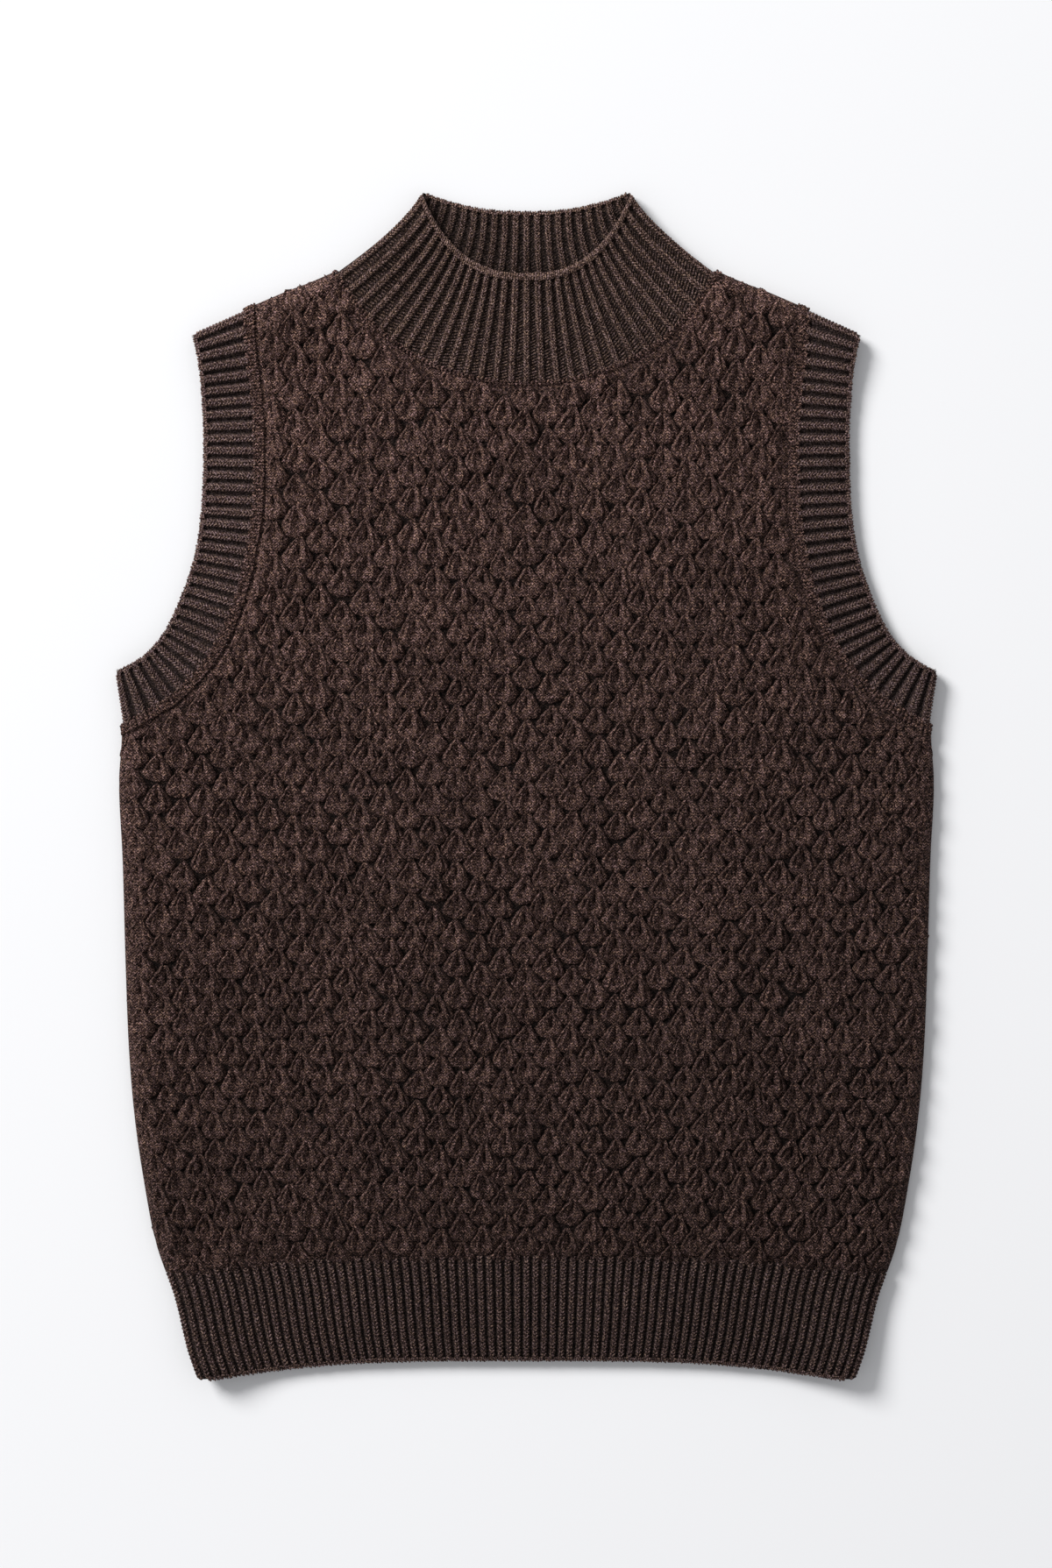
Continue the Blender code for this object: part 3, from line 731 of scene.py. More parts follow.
FIBRE_PLACES = (0.42, 0.5, 0.6)  # in the noise of the tufts: dark, middling and light fibres
LOT_PLACES = (0.4, 0.6)
OLIVE = (1.03, 1.0, 0.88, 1.0)
MAUVE = (0.99, 0.98, 1.14, 1.0)
PATCH_PLACES = (0.3, 0.7)
PATCHES = (0.94, 1.06)  # how much darker and paler a patch is
TONES = (0.88, 1.12)  # and one stitch or leaf than another
EVEN_TONE = 0.5
DEEPEST = 0.14  # share of the light that gets to the deepest wool
LEG_LIGHT = (0.42, 1.58)  # light between the fine legs and on them
LEG_SLOPE = 1.1
STRAND_STRETCH = (0.5, 1.2, 1.0)  # the tufts are longer along a leg than across it
PAINTED_LIGHT_SLOPE = (-0.5, 1.05, 0.0)  # painted light: how much paler the wool's colour is painted towards the window, at the wearer's right shoulder, for each metre
BUMP = 0.7
FIBRE_BUMP = 0.35  # fibres against tufts, and the fine legs against both
LEG_BUMP = 1.2
NAP = {
    "Roughness": 0.92,
    "Specular IOR Level": 0.12,
    "Sheen Weight": 0.06,
    "Sheen Roughness": 0.55,
    "Sheen Tint": linear("A38F86"),
}

# Wool of one kind of knit: the sRGB colours of its dark, middling and light fibres, and the rise, on a
# scale of 0 to 1, under which less and less light reaches it.
Wool = namedtuple("Wool", "name dark middle light deep")
LEAF_WOOL = Wool("lambswool_leaf_knit", "0D0605", "291713", "80665D", 0.4)
HEM_WOOL = Wool("lambswool_hem_rib", "140B09", "3F2B27", "A0867D", 1.0)
COLLAR_WOOL = Wool("lambswool_collar_rib", "180E0A", "3D2A24", "90796F", 0.9)
BAND_WOOL = Wool("lambswool_armhole_rib", "1A100E", "3F2C28", "86726C", 0.68)


def fine_stitches(tree, place):
    """Sockets of the slanted legs of fine, uneven stitches: a swing between -1 and 1 over them, and a place
    that changes little along them.
    """
    strays = add(tree, "ShaderNodeTexNoise", {"Vector": place, "Scale": 1 / WARP_SIZE, "Detail": 2.0}, out=1)
    warp = {0: strays, 1: (WARP, WARP, WARP), 2: place}
    bent = add(tree, "ShaderNodeVectorMath", warp, operation="MULTIPLY_ADD")
    spot = add(tree, "ShaderNodeSeparateXYZ", {0: bent}, out=None).outputs
    across = add(tree, "ShaderNodeMath", {0: spot[0], 1: LEG_WIDTH}, operation="PINGPONG")
    along = add(tree, "ShaderNodeMath", {0: across, 1: LEG_SLOPE, 2: spot[1]}, operation="MULTIPLY_ADD")
    turns = add(tree, "ShaderNodeMath", {0: along, 1: 2 * math.pi / LEG_ROW}, operation="MULTIPLY")
    swing = add(tree, "ShaderNodeMath", {0: turns}, operation="SINE")
    strand = add(tree, "ShaderNodeCombineXYZ", {0: spot[0], 1: along, 2: spot[2]})
    strand = add(tree, "ShaderNodeVectorMath", {0: strand, 1: STRAND_STRETCH}, operation="MULTIPLY")
    return swing, strand


def knitted_wool(wool, stitched=False):
    """Carded lambswool, spun from dyed and paler fibres: a heathered, dull yarn with a soft nap.

    stitched adds the fine stitches of a knit whose legs aren't modelled.
    """
    material, shader = matt(wool.name, NAP)
    tree = material.node_tree
    place = add(tree, "ShaderNodeTexCoord", out="Object")
    legs, strand = fine_stitches(tree, place) if stitched else (None, place)
    noises = (
        {"Vector": strand, "Scale": 1 / STROKE, "Detail": 3.0, "Roughness": 0.7},
        {"Vector": place, "Scale": 1 / FIBRE, "Detail": 1.0},
        {"Vector": place, "Scale": 1 / LOT, "Detail": 2.0},
        {"Vector": place, "Scale": 1 / PATCH, "Detail": 2.0},
    )
    tufts, fibres, lots, patches = (add(tree, "ShaderNodeTexNoise", noise) for noise in noises)
    tone = add(tree, "ShaderNodeAttribute", out="Fac", attribute_name="tone")
    rise = add(tree, "ShaderNodeAttribute", out="Fac", attribute_name="rise")

    shades, casts = (add(tree, "ShaderNodeValToRGB", {"Fac": noise}, out=None) for noise in (tufts, lots))
    shades.color_ramp.elements.new(FIBRE_PLACES[1])
    fibre_colours = [linear(colour) for colour in (wool.dark, wool.middle, wool.light)]
    for ramp, positions, colours in (
        (shades.color_ramp, FIBRE_PLACES, fibre_colours),
        (casts.color_ramp, LOT_PLACES, (OLIVE, MAUVE)),
    ):
        for element, position, colour in zip(ramp.elements, positions, colours):
            element.position = position
            element.color = colour
    dyes = {0: shades.outputs[0], 1: casts.outputs[0]}
    dyed = add(tree, "ShaderNodeVectorMath", dyes, operation="MULTIPLY")

    # Painted light: the colour is painted paler towards the window at the upper left, and darker away from
    # it.
    towards_window = add(tree, "ShaderNodeVectorMath", {0: place, 1: PAINTED_LIGHT_SLOPE}, out=1, operation="DOT_PRODUCT")
    light = add(tree, "ShaderNodeMath", {0: towards_window}, operation="EXPONENT")
    lights = [
        (rise, (0.0, wool.deep), (DEEPEST, 1.0)),
        (tone, (0.0, 1.0), TONES),
        (patches, PATCH_PLACES, PATCHES),
    ]
    if stitched:
        lights.append((legs, (-1.0, 1.0), LEG_LIGHT))
    for value, (low, high), (dark, pale) in lights:
        spans = {"Value": value, "From Min": low, "From Max": high, "To Min": dark, "To Max": pale}
        share = add(tree, "ShaderNodeMapRange", spans)
        light = add(tree, "ShaderNodeMath", {0: light, 1: share}, operation="MULTIPLY")
    colour = add(tree, "ShaderNodeVectorMath", {0: dyed, "Scale": light}, operation="SCALE")
    tree.links.new(colour, shader.inputs["Base Color"])

    rough = add(tree, "ShaderNodeMath", {0: fibres, 1: FIBRE_BUMP, 2: tufts}, operation="MULTIPLY_ADD")
    if stitched:
        rough = add(tree, "ShaderNodeMath", {0: legs, 1: LEG_BUMP, 2: rough}, operation="MULTIPLY_ADD")
    bump = add(tree, "ShaderNodeBump", {"Strength": BUMP, "Distance": BUMP_DEPTH, "Height": rough})
    tree.links.new(bump, shader.inputs["Normal"])
    return material


# Front and back ------------------------------------------------------------------------------------

# What a piece of cloth was cut to: its flat width, length and area, in metres.
Cut = namedtuple("Cut", "width length area")

# Front or back: cloth is the height of the face that the leaves grow from.
Panel = namedtuple("Panel", "name upper collar cloth seed cut")
FRONT = Panel("front", True, COLLAR_FRONT, -0.6, 3, Cut(0.518, 0.633, 0.261))
BACK = Panel("back", False, COLLAR_BACK, -1.6, 5, Cut(0.518, 0.633, 0.268))

EDGE_STEP = 4.0  # between the points of an outline
CLOTH_STEP = 9.0  # and between those inside it
LATTICE_ROWS = 90  # these reach past the outline on each side
LATTICE_COLUMNS = 50
SHOULDER_LENGTH = 60.0  # rough lengths of a shoulder and half a neck, for the number of their points
NECK_LENGTH = 145.0
ARMHOLE_POINTS = 60
FOLD_ROWS = (0.5, 1.8, 3.8, 6.2)  # rows of points in from a crest, which make its half-round
ROW_CLEAR = 1.5  # they stay this far from a seam
MERGE = 1e-4  # points as near as this are one
BAND_WIDTH = float(np.hypot(*(band_point(0.5, 0.0) - band_point(0.5, 1.0))))
LEAF_RAMP = 4.0  # leaves grow to their full height over this length, in from the plain borders
FOLD_SHARE = 0.4  # leaves rise less on a fold's crest
FOLD_SHARE_REACH = 13.0
EDGE_RISE = 0.3  # light gets to the ground beside its outline as if it stood out by this
EDGE_RISE_REACH = 7.0
LEAF_LAP = 4.0  # the lowest leaves lie this far over the hem's seam
LEAF_REACH = 18  # columns of leaves to each side, some of them past the outline
TURN_SPREAD = 0.12
LEAF_SIZE_SPREAD = 0.09
LEAF_PLACE_SPREAD = 1.0
LEAF_TILT_SPREAD = 0.07


def run_length(line):
    """Length of a line of plan points."""
    return float(np.hypot(*np.diff(line, axis=0).T).sum())


def evenly(first, last, length, step):
    """Values from first to last for a line of this length, about a step apart on it."""
    return np.linspace(first, last, max(round(length / step), 1) + 1)


def armhole_length():
    """Length of the seam between a band and the body, on one layer."""
    return run_length(band_point(np.linspace(0, 1, ARMHOLE_POINTS), np.zeros(ARMHOLE_POINTS)))


def half_outline(panel):
    """A panel's outline from the middle of the hem round to the middle of the neck, in five stretches."""
    inset = SEAM_GAP / 2
    end = hem_seam_end() + inset
    half = float(side_half_width(end))
    across = evenly(0.0, half, half, EDGE_STEP)
    hem = plan(across, hem_seam(across) + inset)
    top = BAND[-1].seam_y
    heights = evenly(end, top, top - end, EDGE_STEP)[1:-1]
    side = plan(side_half_width(heights), heights)
    shares = evenly(1.0, 0.0, armhole_length(), EDGE_STEP)
    armhole = band_point(shares, np.full(len(shares), -inset / BAND_WIDTH))
    armhole[0, 0] = side_half_width(armhole[0, 1])
    armhole[-1, 1] = shoulder_height(armhole[-1, 0])
    across = evenly(armhole[-1, 0], SHOULDER[0].across + inset, SHOULDER_LENGTH, EDGE_STEP)[1:]
    shoulder = plan(across, shoulder_height(across))
    down = 1 + inset / (panel.collar[0].rim_y - panel.collar[0].seam_y)
    shares = evenly(1.0, 0.0, NECK_LENGTH, EDGE_STEP)[1:]
    neck = collar_point(panel.collar, shares, np.full(len(shares), down))
    return hem, side, armhole, shoulder, neck


def within(points, outline):
    """Which plan points are inside a closed outline."""
    crossed = np.zeros(len(points), bool)
    for a, b in zip(outline, np.roll(outline, -1, axis=0)):
        spans = (a[1] > points[:, 1]) != (b[1] > points[:, 1])
        rise = b[1] - a[1] if b[1] != a[1] else 1.0
        crossed ^= spans & (points[:, 0] < a[0] + (points[:, 1] - a[1]) * (b[0] - a[0]) / rise)
    return crossed


def both_halves(line):
    """Points of the left half and their mirror image."""
    return np.concatenate([line, mirrored(line)])


def whole_outline(stretches):
    """A closed outline from the stretches of its left half."""
    half = np.concatenate(stretches)
    return np.concatenate([half, mirrored(half[-2:0:-1])])


def away_from(points, lines):
    """Distance from plan points to the nearest of some lines of the left half, or of their mirror image."""
    half = points * flip(points)
    return np.min([nearest(half, line)[0] for line in lines], axis=0)


def panel_cloth(panel, wool):
    """The knitted ground that the leaves grow from: a thin wall over the whole outline."""
    hem, side, armhole, shoulder, neck = stretches = half_outline(panel)
    outline = whole_outline(stretches)
    seams = (hem, armhole, neck)
    beside = []
    for line in (side, shoulder[:-1]):
        inward = -fold_beside(line)[2]
        beside += [line + inward * row for row in FOLD_ROWS]
    beside = both_halves(np.concatenate(beside))
    beside = beside[away_from(beside, seams) > ROW_CLEAR]
    rows, columns = np.mgrid[-LATTICE_ROWS:LATTICE_ROWS, -LATTICE_COLUMNS:LATTICE_COLUMNS]
    lattice = plan((columns + rows % 2 / 2) * CLOTH_STEP, rows * CLOTH_STEP * math.sin(math.pi / 3))
    lattice = lattice.reshape(-1, 2)
    lattice = lattice[within(lattice, outline)]
    lattice = lattice[fold_beside(lattice)[0] > FOLD_REACH]
    lattice = lattice[away_from(lattice, seams) > CLOTH_STEP / 2]
    points = np.concatenate([outline, beside, lattice])
    edges = [(i, (i + 1) % len(outline)) for i in range(len(outline))]
    corners, origins = delaunay_2d_cdt([Vector(point) for point in points], edges, [], 1, MERGE)[2:4]
    top = [[origins[corner][0] for corner in face] for face in corners]
    under = [[number + len(points) for number in face] for face in top]
    rim = [(a, b, b + len(points), a + len(points)) for a, b in edges]
    outer = lay(points, panel.upper, panel.cloth)
    inner = lay(points, panel.upper, -WALL)
    rise = EDGE_RISE * (1 - ease(away_from(points, stretches) / EDGE_RISE_REACH - 1))
    return cloth(f"{panel.name}_cloth", outer, inner, top + under + rim, rise, wool)


WAVER = 1.3  # how far the rows and columns of leaves stray from straight lines
WAVER_WIDTH = 250.0
WAVER_LENGTH = 60.0

# Waves in which the columns sway and the rows rise: their share, their lengths up and across the
# garment, and where they start.
Wave = namedtuple("Wave", "share up across start")
SWAY = (Wave(1.0, 47.0, 90.0, 0.0), Wave(0.6, 21.0, -33.0, 2.0))
RISE = (Wave(1.0, 110.0, 52.0, 1.0), Wave(0.6, 40.0, 19.0, 0.0))


def waver(waves, across, height):
    """Sum of some waves at places of the garment."""
    turns = [height / wave.up + across / wave.across + wave.start for wave in waves]
    return sum(wave.share * np.sin(turn) for wave, turn in zip(waves, turns))


def leaf_plan(flat, mirror):
    """Plan points of the flat places of leaves: the rib draws their columns together towards the hem."""
    row = flat[:, 1] / LEAF_PERIOD
    height = HEM[0].seam + FIRST_LEAF_PERIOD * row + PERIOD_GROWTH * row * row / 2
    pitch = side_half_width(np.minimum(height, 0.0)) / LEAF_COLUMNS
    across = flat[:, 0] / LEAF_PITCH * pitch * mirror
    inner = np.maximum(1 - (across / WAVER_WIDTH) ** 2, 0.0)
    low = ease((height - HEM[0].seam) / WAVER_LENGTH)
    reach = inner * low * WAVER
    return plan(across + reach * waver(SWAY, across, height), height + reach * waver(RISE, across, height))


def leaves(panel, part, tree, shapes, wool):
    """Every other column of a panel's leaves. They go down to the ground beside the neck and armholes."""
    stretches = half_outline(panel)
    _, _, armhole, _, neck = stretches
    outline = whole_outline(stretches)
    mirror = 1.0 if panel.upper else -1.0
    columns, rows = np.mgrid[part - LEAF_REACH : LEAF_REACH + 1 : 2, -1 : LEAF_ROWS + 1]
    places = plan(columns * LEAF_PITCH, (rows + 0.5 * (columns % 2 == 0)) * LEAF_PERIOD).reshape(-1, 2)
    middles = leaf_plan(places, mirror)
    lap = plan(0.0, np.where(middles[:, 1] < 0, LEAF_LAP, 0.0))
    places = places[within(middles + lap, outline)]
    places = np.column_stack([places, np.zeros(len(places))])
    settings = {
        "Place Spread": LEAF_PLACE_SPREAD,
        "Turn Spread": TURN_SPREAD,
        "Tilt Spread": LEAF_TILT_SPREAD,
        "Size": (1.0, 1.0, 1.0),
        "Size Spread": LEAF_SIZE_SPREAD,
        "Seed": panel.seed + part,
        "Shapes": shapes,
        "Wool": wool,
    }
    name = f"{panel.name}_leaves_{'odd' if part else 'even'}"

    def chart(flat):
        points = leaf_plan(flat, mirror)
        turn = flip(points)
        half = points * turn
        share = ease((half[:, 1] - hem_seam(half[:, 0]) + LEAF_LAP) / LEAF_LAP)
        for line, border in ((armhole, PLAIN_BORDER), (neck, NECK_BORDER)):
            away, foot, way = nearest(half, line)
            past = way[:, 0] * (half[:, 1] - foot[:, 1]) - way[:, 1] * (half[:, 0] - foot[:, 0]) < 0
            half = np.where(past[:, None], foot, half)
            clear = np.where(past, 0.0, away)
            share = share * ease((clear - border) / LEAF_RAMP)
        share = share * (FOLD_SHARE + (1 - FOLD_SHARE) * ease(fold_beside(points)[0] / FOLD_SHARE_REACH))
        return lay(half * turn, panel.upper, panel.cloth - SINK + (flat[:, 2] + SINK) * share)

    return put_down(name, knit(name, tree, settings, places), chart)


# Ribbing -------------------------------------------------------------------------------------------

RIB_SHARE = 0.66  # of its flat pitch that a rib takes
RIB_ROUND = 0.56  # half width of the round that a rib's back is part of, in rib widths
EDGE_ROLL = 1.0  # a free edge rounds off by this much on each side
EDGE_ROLL_REACH = 2.4
EDGE_ROWS = (0.0, 0.5, 1.3)  # rows of the cloth's points in from it
EDGE_FLAT = 0.5  # share of their relief that ribs lose there
CLOTH_DROP = 0.8  # the cloth lies this far below the middle of the stitches
STITCH_LIFT = -0.25  # middle of the stitches over the rib's plain back
GROUND_RISE = 0.5  # rise of the cloth under a rib, which is 0 under a groove
PER_RIB = 6  # stations of the cloth for each rib

# One layer of a ribbed piece. plan_at gives plan points from a share along the ribbing, which goes from
# first to last, and a share up the flat knitting. rib_low and rib_high are the shares of the pitch that
# a rib takes at the bottom and the top, base the height of the grooves, dim_low and dim_high how little
# light reaches the grooves at the bottom and the top, and free the end, 0 or 1, that is a free edge.
Ribbing = namedtuple(
    "Ribbing",
    "ribs pitch rows row relief base plan_at first last"
    " rib_low rib_high dim_low dim_high free upper sewn inside",
)


def hem_plan(across, up):
    """Plan points of the hem band, up from its free edge."""
    top = hem_seam_end() - SEAM_GAP / 2
    foot = SIDE_FOLD[0].height
    x = across * side_half_width(foot + (top - foot) * up)
    high = hem_seam(x) - SEAM_GAP / 2
    edge = hem_edge(x)
    return plan(x, edge + (high - edge) * up)


def collar_plan(rows):
    """Plan points of one layer of the collar, up from its seam."""

    def plan_at(share, up):
        return collar_point(rows, share, 1 - up)

    return plan_at


def band_plan(side):
    """Plan points of an armhole band, out from its seam. side is 1 at the wearer's left, -1 at the right."""

    def plan_at(share, out):
        return band_point(share, out) * (side, 1.0)

    return plan_at


HEM_FRONT = Ribbing(
    ribs=HEM_RIBS, pitch=5.75, rows=29, row=2.27, relief=1.5, base=-0.5,
    plan_at=hem_plan, first=-1, last=1, rib_low=0.66, rib_high=0.66, dim_low=0.8, dim_high=0.8,
    free=0, upper=True, sewn=True, inside=False,
)
HEM_BACK = HEM_FRONT._replace(first=1, last=-1, upper=False, base=-1.6)
COLLAR_UPPER = Ribbing(
    ribs=COLLAR_RIBS_FRONT, pitch=8.0, rows=36, row=1.95, relief=2.2, base=-1.2,
    plan_at=collar_plan(COLLAR_FRONT), first=-1, last=1, rib_low=0.38, rib_high=0.66, dim_low=0.45,
    dim_high=0.95, free=1, upper=True, sewn=False, inside=False,
)
COLLAR_LOWER = COLLAR_UPPER._replace(
    ribs=COLLAR_RIBS_BACK, plan_at=collar_plan(COLLAR_BACK), base=-1.8, first=1, last=-1, upper=False
)
COLLAR_INSIDE = COLLAR_LOWER._replace(
    base=0.2, relief=1.6, first=-1, last=1, dim_low=0.9, dim_high=1.0, inside=True
)


def band_layer(side, upper):
    """The upper or the lower layer of an armhole band."""
    first, last = (0, 1) if (side > 0) == upper else (1, 0)
    return Ribbing(
        ribs=BAND_RIBS, pitch=7.6, rows=16, row=2.05, relief=1.9, base=-0.7 if upper else -1.8,
        plan_at=band_plan(side), first=first, last=last, rib_low=0.62, rib_high=0.68, dim_low=0.85,
        dim_high=0.85, free=1, upper=upper, sewn=False, inside=False,
    )


def rib_form(layer, flat):
    """The shares along and up a layer of its flat points, and how far they stand out of the grooves."""
    up = flat[:, 1] / (layer.rows * layer.row)
    share = layer.rib_low + (layer.rib_high - layer.rib_low) * np.clip(up, 0.0, 1.0)
    number = np.floor(flat[:, 0] / layer.pitch)
    off = flat[:, 0] / layer.pitch - number - 0.5
    part = np.abs(off)
    on_rib = part * share / RIB_SHARE
    in_groove = share / 2 + (part - RIB_SHARE / 2) * (1 - share) / (1 - RIB_SHARE)
    part = np.where(part < RIB_SHARE / 2, on_rib, in_groove)
    along = layer.first + (layer.last - layer.first) * (number + 0.5 + np.sign(off) * part) / layer.ribs
    return along, up, np.sqrt(np.maximum(1 - (part / (share * RIB_ROUND)) ** 2, 0.0))


RIM_SHADE = 0.6  # light lost on the collar's inside right behind its front rim
RIM_SHADE_REACH = 16.0
RIM_SHADE_WIDTH = 60.0  # over this width it weakens by this share, away from the window
RIM_SHADE_FAR = 0.5


def behind_rim(layer, along, up):
    """The share of the light that gets past the collar's front rim to its inside."""
    points = layer.plan_at(along, up)
    rim = collar_point(COLLAR_FRONT, np.linspace(-1, 1, COLLAR_POINTS), np.zeros(COLLAR_POINTS))
    away = nearest(points, rim)[0]
    side = 1 - RIM_SHADE_FAR * ease(points[:, 0] / RIM_SHADE_WIDTH + 0.5)
    return 1 - RIM_SHADE * side * np.exp(-away / RIM_SHADE_REACH)


def rib_light(layer, flat):
    """The share of the light that flat points of ribbing get."""
    along, up, back = rib_form(layer, flat)
    light = 1 - (layer.dim_low + (layer.dim_high - layer.dim_low) * np.clip(up, 0.0, 1.0)) * (1 - back)
    return light * behind_rim(layer, along, up) if layer.inside else light


def lay_ribs(layer, flat):
    """Where flat points of a ribbed layer come to lie."""
    along, up, back = rib_form(layer, flat)
    from_edge = np.abs(up - layer.free) * layer.rows * layer.row
    past_edge = up > 1 if layer.free else up < 0
    roll = np.where(past_edge, 1.0, 1 - ease(from_edge / EDGE_ROLL_REACH))
    relief = layer.relief * back * (1 - EDGE_FLAT * roll)
    height = layer.base + relief - EDGE_ROLL * roll + flat[:, 2]
    if layer.inside:
        height = -WALL - height
    return lay(layer.plan_at(along, up), layer.upper, height, layer.sewn)


def ribbed_cloth(name, layers, wool):
    """The knitted ground of a ribbed piece of one layer, or of two that make a tube."""
    outer = []
    inner = []
    rises = []
    for layer in layers:
        x = np.arange(layer.ribs * PER_RIB + (len(layers) == 1)) * layer.pitch / PER_RIB
        tall = layer.rows * layer.row
        y = np.concatenate([EDGE_ROWS, evenly(EDGE_ROLL_REACH, tall, tall, CLOTH_STEP)])
        if layer.free:
            y = tall - y[::-1]
        x, y = np.meshgrid(x, y, indexing="ij")
        flat = np.column_stack([x.ravel(), y.ravel(), np.full(x.size, -CLOTH_DROP)])
        outer.append(lay_ribs(layer, flat))
        flat[:, 2] = 0.0
        inner.append(lay_ribs(layer._replace(inside=True, base=0.0, relief=layer.relief / 2), flat))
        swing = np.cos(2 * math.pi * (flat[:, 0] / layer.pitch - 0.5))
        rises.append(GROUND_RISE / 2 * (1 + swing))
        rows = y.shape[1]
    outer = np.concatenate(outer)
    inner = np.concatenate(inner)
    faces = wall_faces(len(outer) // rows, rows, closed=len(layers) > 1)
    return cloth(name, outer, inner, faces, np.concatenate(rises), wool)


# What a row of stitches is made with: the tree that sets out its legs, their shapes and their wool.
Yarn = namedtuple("Yarn", "tree legs wool")

# Legs of a kind of stitch. They lean to the left and the right in turn and all slant to one side, in
# degrees. They stray in place, turn and size. wide and long are in millimetres, or in the units that
# stand behind them.
Legs = namedtuple("Legs", "lean slant wide long thick place turn size")
RIB_LEGS = Legs(39.0, 0.0, 0.64, 1.9, 1.5, 0.1, 0.09, 0.07)  # a row, half a rib
GROOVE_LEGS = Legs(0.0, -56.0, 0.66, 1.25, 1.2, 0.08, 0.1, 0.08)  # a row, a groove
CAST_OFF_LEGS = Legs(30.0, 35.0, 0.85, 2.6, 1.6, 0.25, 0.3, 0.12)  # a column, 1 mm
BORDER_LEGS = Legs(34.0, 0.0, 1.8, 2.9, 1.6, 0.3, 0.35, 0.08)
CHAIN_LEGS = Legs(34.0, 0.0, 1.5, 2.9, 1.5, 0.1, 0.1, 0.08)


def knit_legs(name, yarn, seed, legs, counts, steps, units=(1.0, 1.0), pair_shift=0.0):
    """Flat columns and rows of legs, by their counts, the steps between them and the legs' units."""
    settings = {
        "Columns": counts[0],
        "Rows": counts[1],
        "Column Step": steps[0],
        "Row Step": steps[1],
        "Pair Shift": pair_shift,
        "Lean": math.radians(legs.lean),
        "Slant": math.radians(legs.slant),
        "Place Spread": legs.place,
        "Turn Spread": legs.turn,
        "Tilt Spread": 0.0,
        "Size": (units[0] * legs.wide, units[1] * legs.long, legs.thick),
        "Size Spread": legs.size,
        "Seed": seed,
        "Shapes": yarn.legs,
        "Wool": yarn.wool,
    }
    return knit(name, yarn.tree, settings)


CORNER_DROP = 2.6  # the collar's inner stitches end this much lower in its corners


def rib_stitches(name, layer, yarn, seed):
    """The legs of the knit stitches on a layer's ribs."""
    counts = (2 * layer.ribs, layer.rows)
    steps = (layer.pitch / 2, layer.row)
    units = (layer.row, layer.pitch * RIB_SHARE / 2)
    mesh = knit_legs(name, yarn, seed, RIB_LEGS, counts, steps, units, layer.pitch * (0.25 - RIB_SHARE / 4))

    def chart(flat):
        flat = flat + (0.0, 0.0, STITCH_LIFT)
        if layer.inside:
            from_fold = np.minimum(flat[:, 0], layer.ribs * layer.pitch - flat[:, 0])
            drop = CORNER_DROP * (1 - ease(from_fold / layer.pitch))
            flat[:, 1] -= drop * flat[:, 1] / (layer.rows * layer.row)
        return lay_ribs(layer, flat)

    def shade(flat):
        return rib_light(layer, flat)

    return put_down(name, mesh, chart, shade)


def groove_stitches(name, layer, yarn, seed):
    """The slanted purl strands that show in wide grooves, one column of them in each."""
    counts = (layer.ribs - 1, layer.rows)
    units = (layer.row, layer.pitch * (1 - RIB_SHARE))
    mesh = knit_legs(name, yarn, seed, GROOVE_LEGS, counts, (layer.pitch, layer.row), units)

    def chart(flat):
        return lay_ribs(layer, flat + (layer.pitch / 2, 0.0, STITCH_LIFT))

    def shade(flat):
        return rib_light(layer, flat + (layer.pitch / 2, 0.0, 0.0))

    return put_down(name, mesh, chart, shade)


CAST_OFF_PER_RIB = 4  # legs of the edge's stitches for each rib
CAST_OFF_ROWS = 2
CAST_OFF_ROW = 1.2
CAST_OFF_SPAN = 0.965  # of the edge's length, so that no stitch sticks out past a fold
CAST_OFF_HEIGHT = 0.8  # of the ribs' relief
RIM_ROWS = 4  # the collar's front rim is a wider roll
RIM_LIFT = 1.1


def cast_off(name, layer, yarn, seed, rows=CAST_OFF_ROWS, lift=0.0):
    """The stitches that close a ribbed layer's free edge, in a soft roll along it."""
    step = layer.pitch / CAST_OFF_PER_RIB
    counts = (CAST_OFF_PER_RIB * layer.ribs, rows)
    mesh = knit_legs(name, yarn, seed, CAST_OFF_LEGS, counts, (step, CAST_OFF_ROW), (step, 1.0))
    tall = layer.rows * layer.row

    def chart(flat):
        along = flat[:, 0] / (layer.ribs * layer.pitch)
        along = layer.first + (layer.last - layer.first) * (0.5 + (along - 0.5) * CAST_OFF_SPAN)
        inwards = flat[:, 1] - CAST_OFF_ROW / 2
        up = 1 - inwards / tall if layer.free else inwards / tall
        roll = 1 - ease(inwards / EDGE_ROLL_REACH)
        swell = lift * np.sin(math.pi * np.clip(flat[:, 1] / (rows * CAST_OFF_ROW), 0.0, 1.0))
        height = layer.base + CAST_OFF_HEIGHT * layer.relief - EDGE_ROLL * roll + swell + flat[:, 2]
        if layer.inside:
            height = -WALL - height
        return lay(layer.plan_at(along, up), layer.upper, height, layer.sewn)

    return put_down(name, mesh, chart)


# Plain knit beside the seams -----------------------------------------------------------------------

SEAM_LAP = 1.3  # these stitches hide the seam: they start this far over the ribbing
BORDER_LIFT = 0.9
BORDER_STITCHES = 3  # across a border
BORDER_ROW = 2.27
CHAIN_STEP = 1.5
CHAIN_ROW = 2.6


def border_stitches(name, panel, side, yarn, seed):
    """The plain knit between an armhole's seam and the leaves."""
    length = armhole_length()
    rows = round(length / BORDER_ROW)
    steps = (PLAIN_BORDER / (2 * BORDER_STITCHES), length / rows)
    mesh = knit_legs(name, yarn, seed, BORDER_LEGS, (2 * BORDER_STITCHES, rows), steps)
    seam_on_right = (side > 0) == panel.upper

    def chart(flat):
        inwards = (PLAIN_BORDER - flat[:, 0] if seam_on_right else flat[:, 0]) - SEAM_LAP
        share = 1 - flat[:, 1] / length
        points = band_point(share, -(inwards + SEAM_GAP) / BAND_WIDTH) * (side, 1.0)
        return lay(points, panel.upper, panel.cloth + BORDER_LIFT + flat[:, 2])

    return put_down(name, mesh, chart)


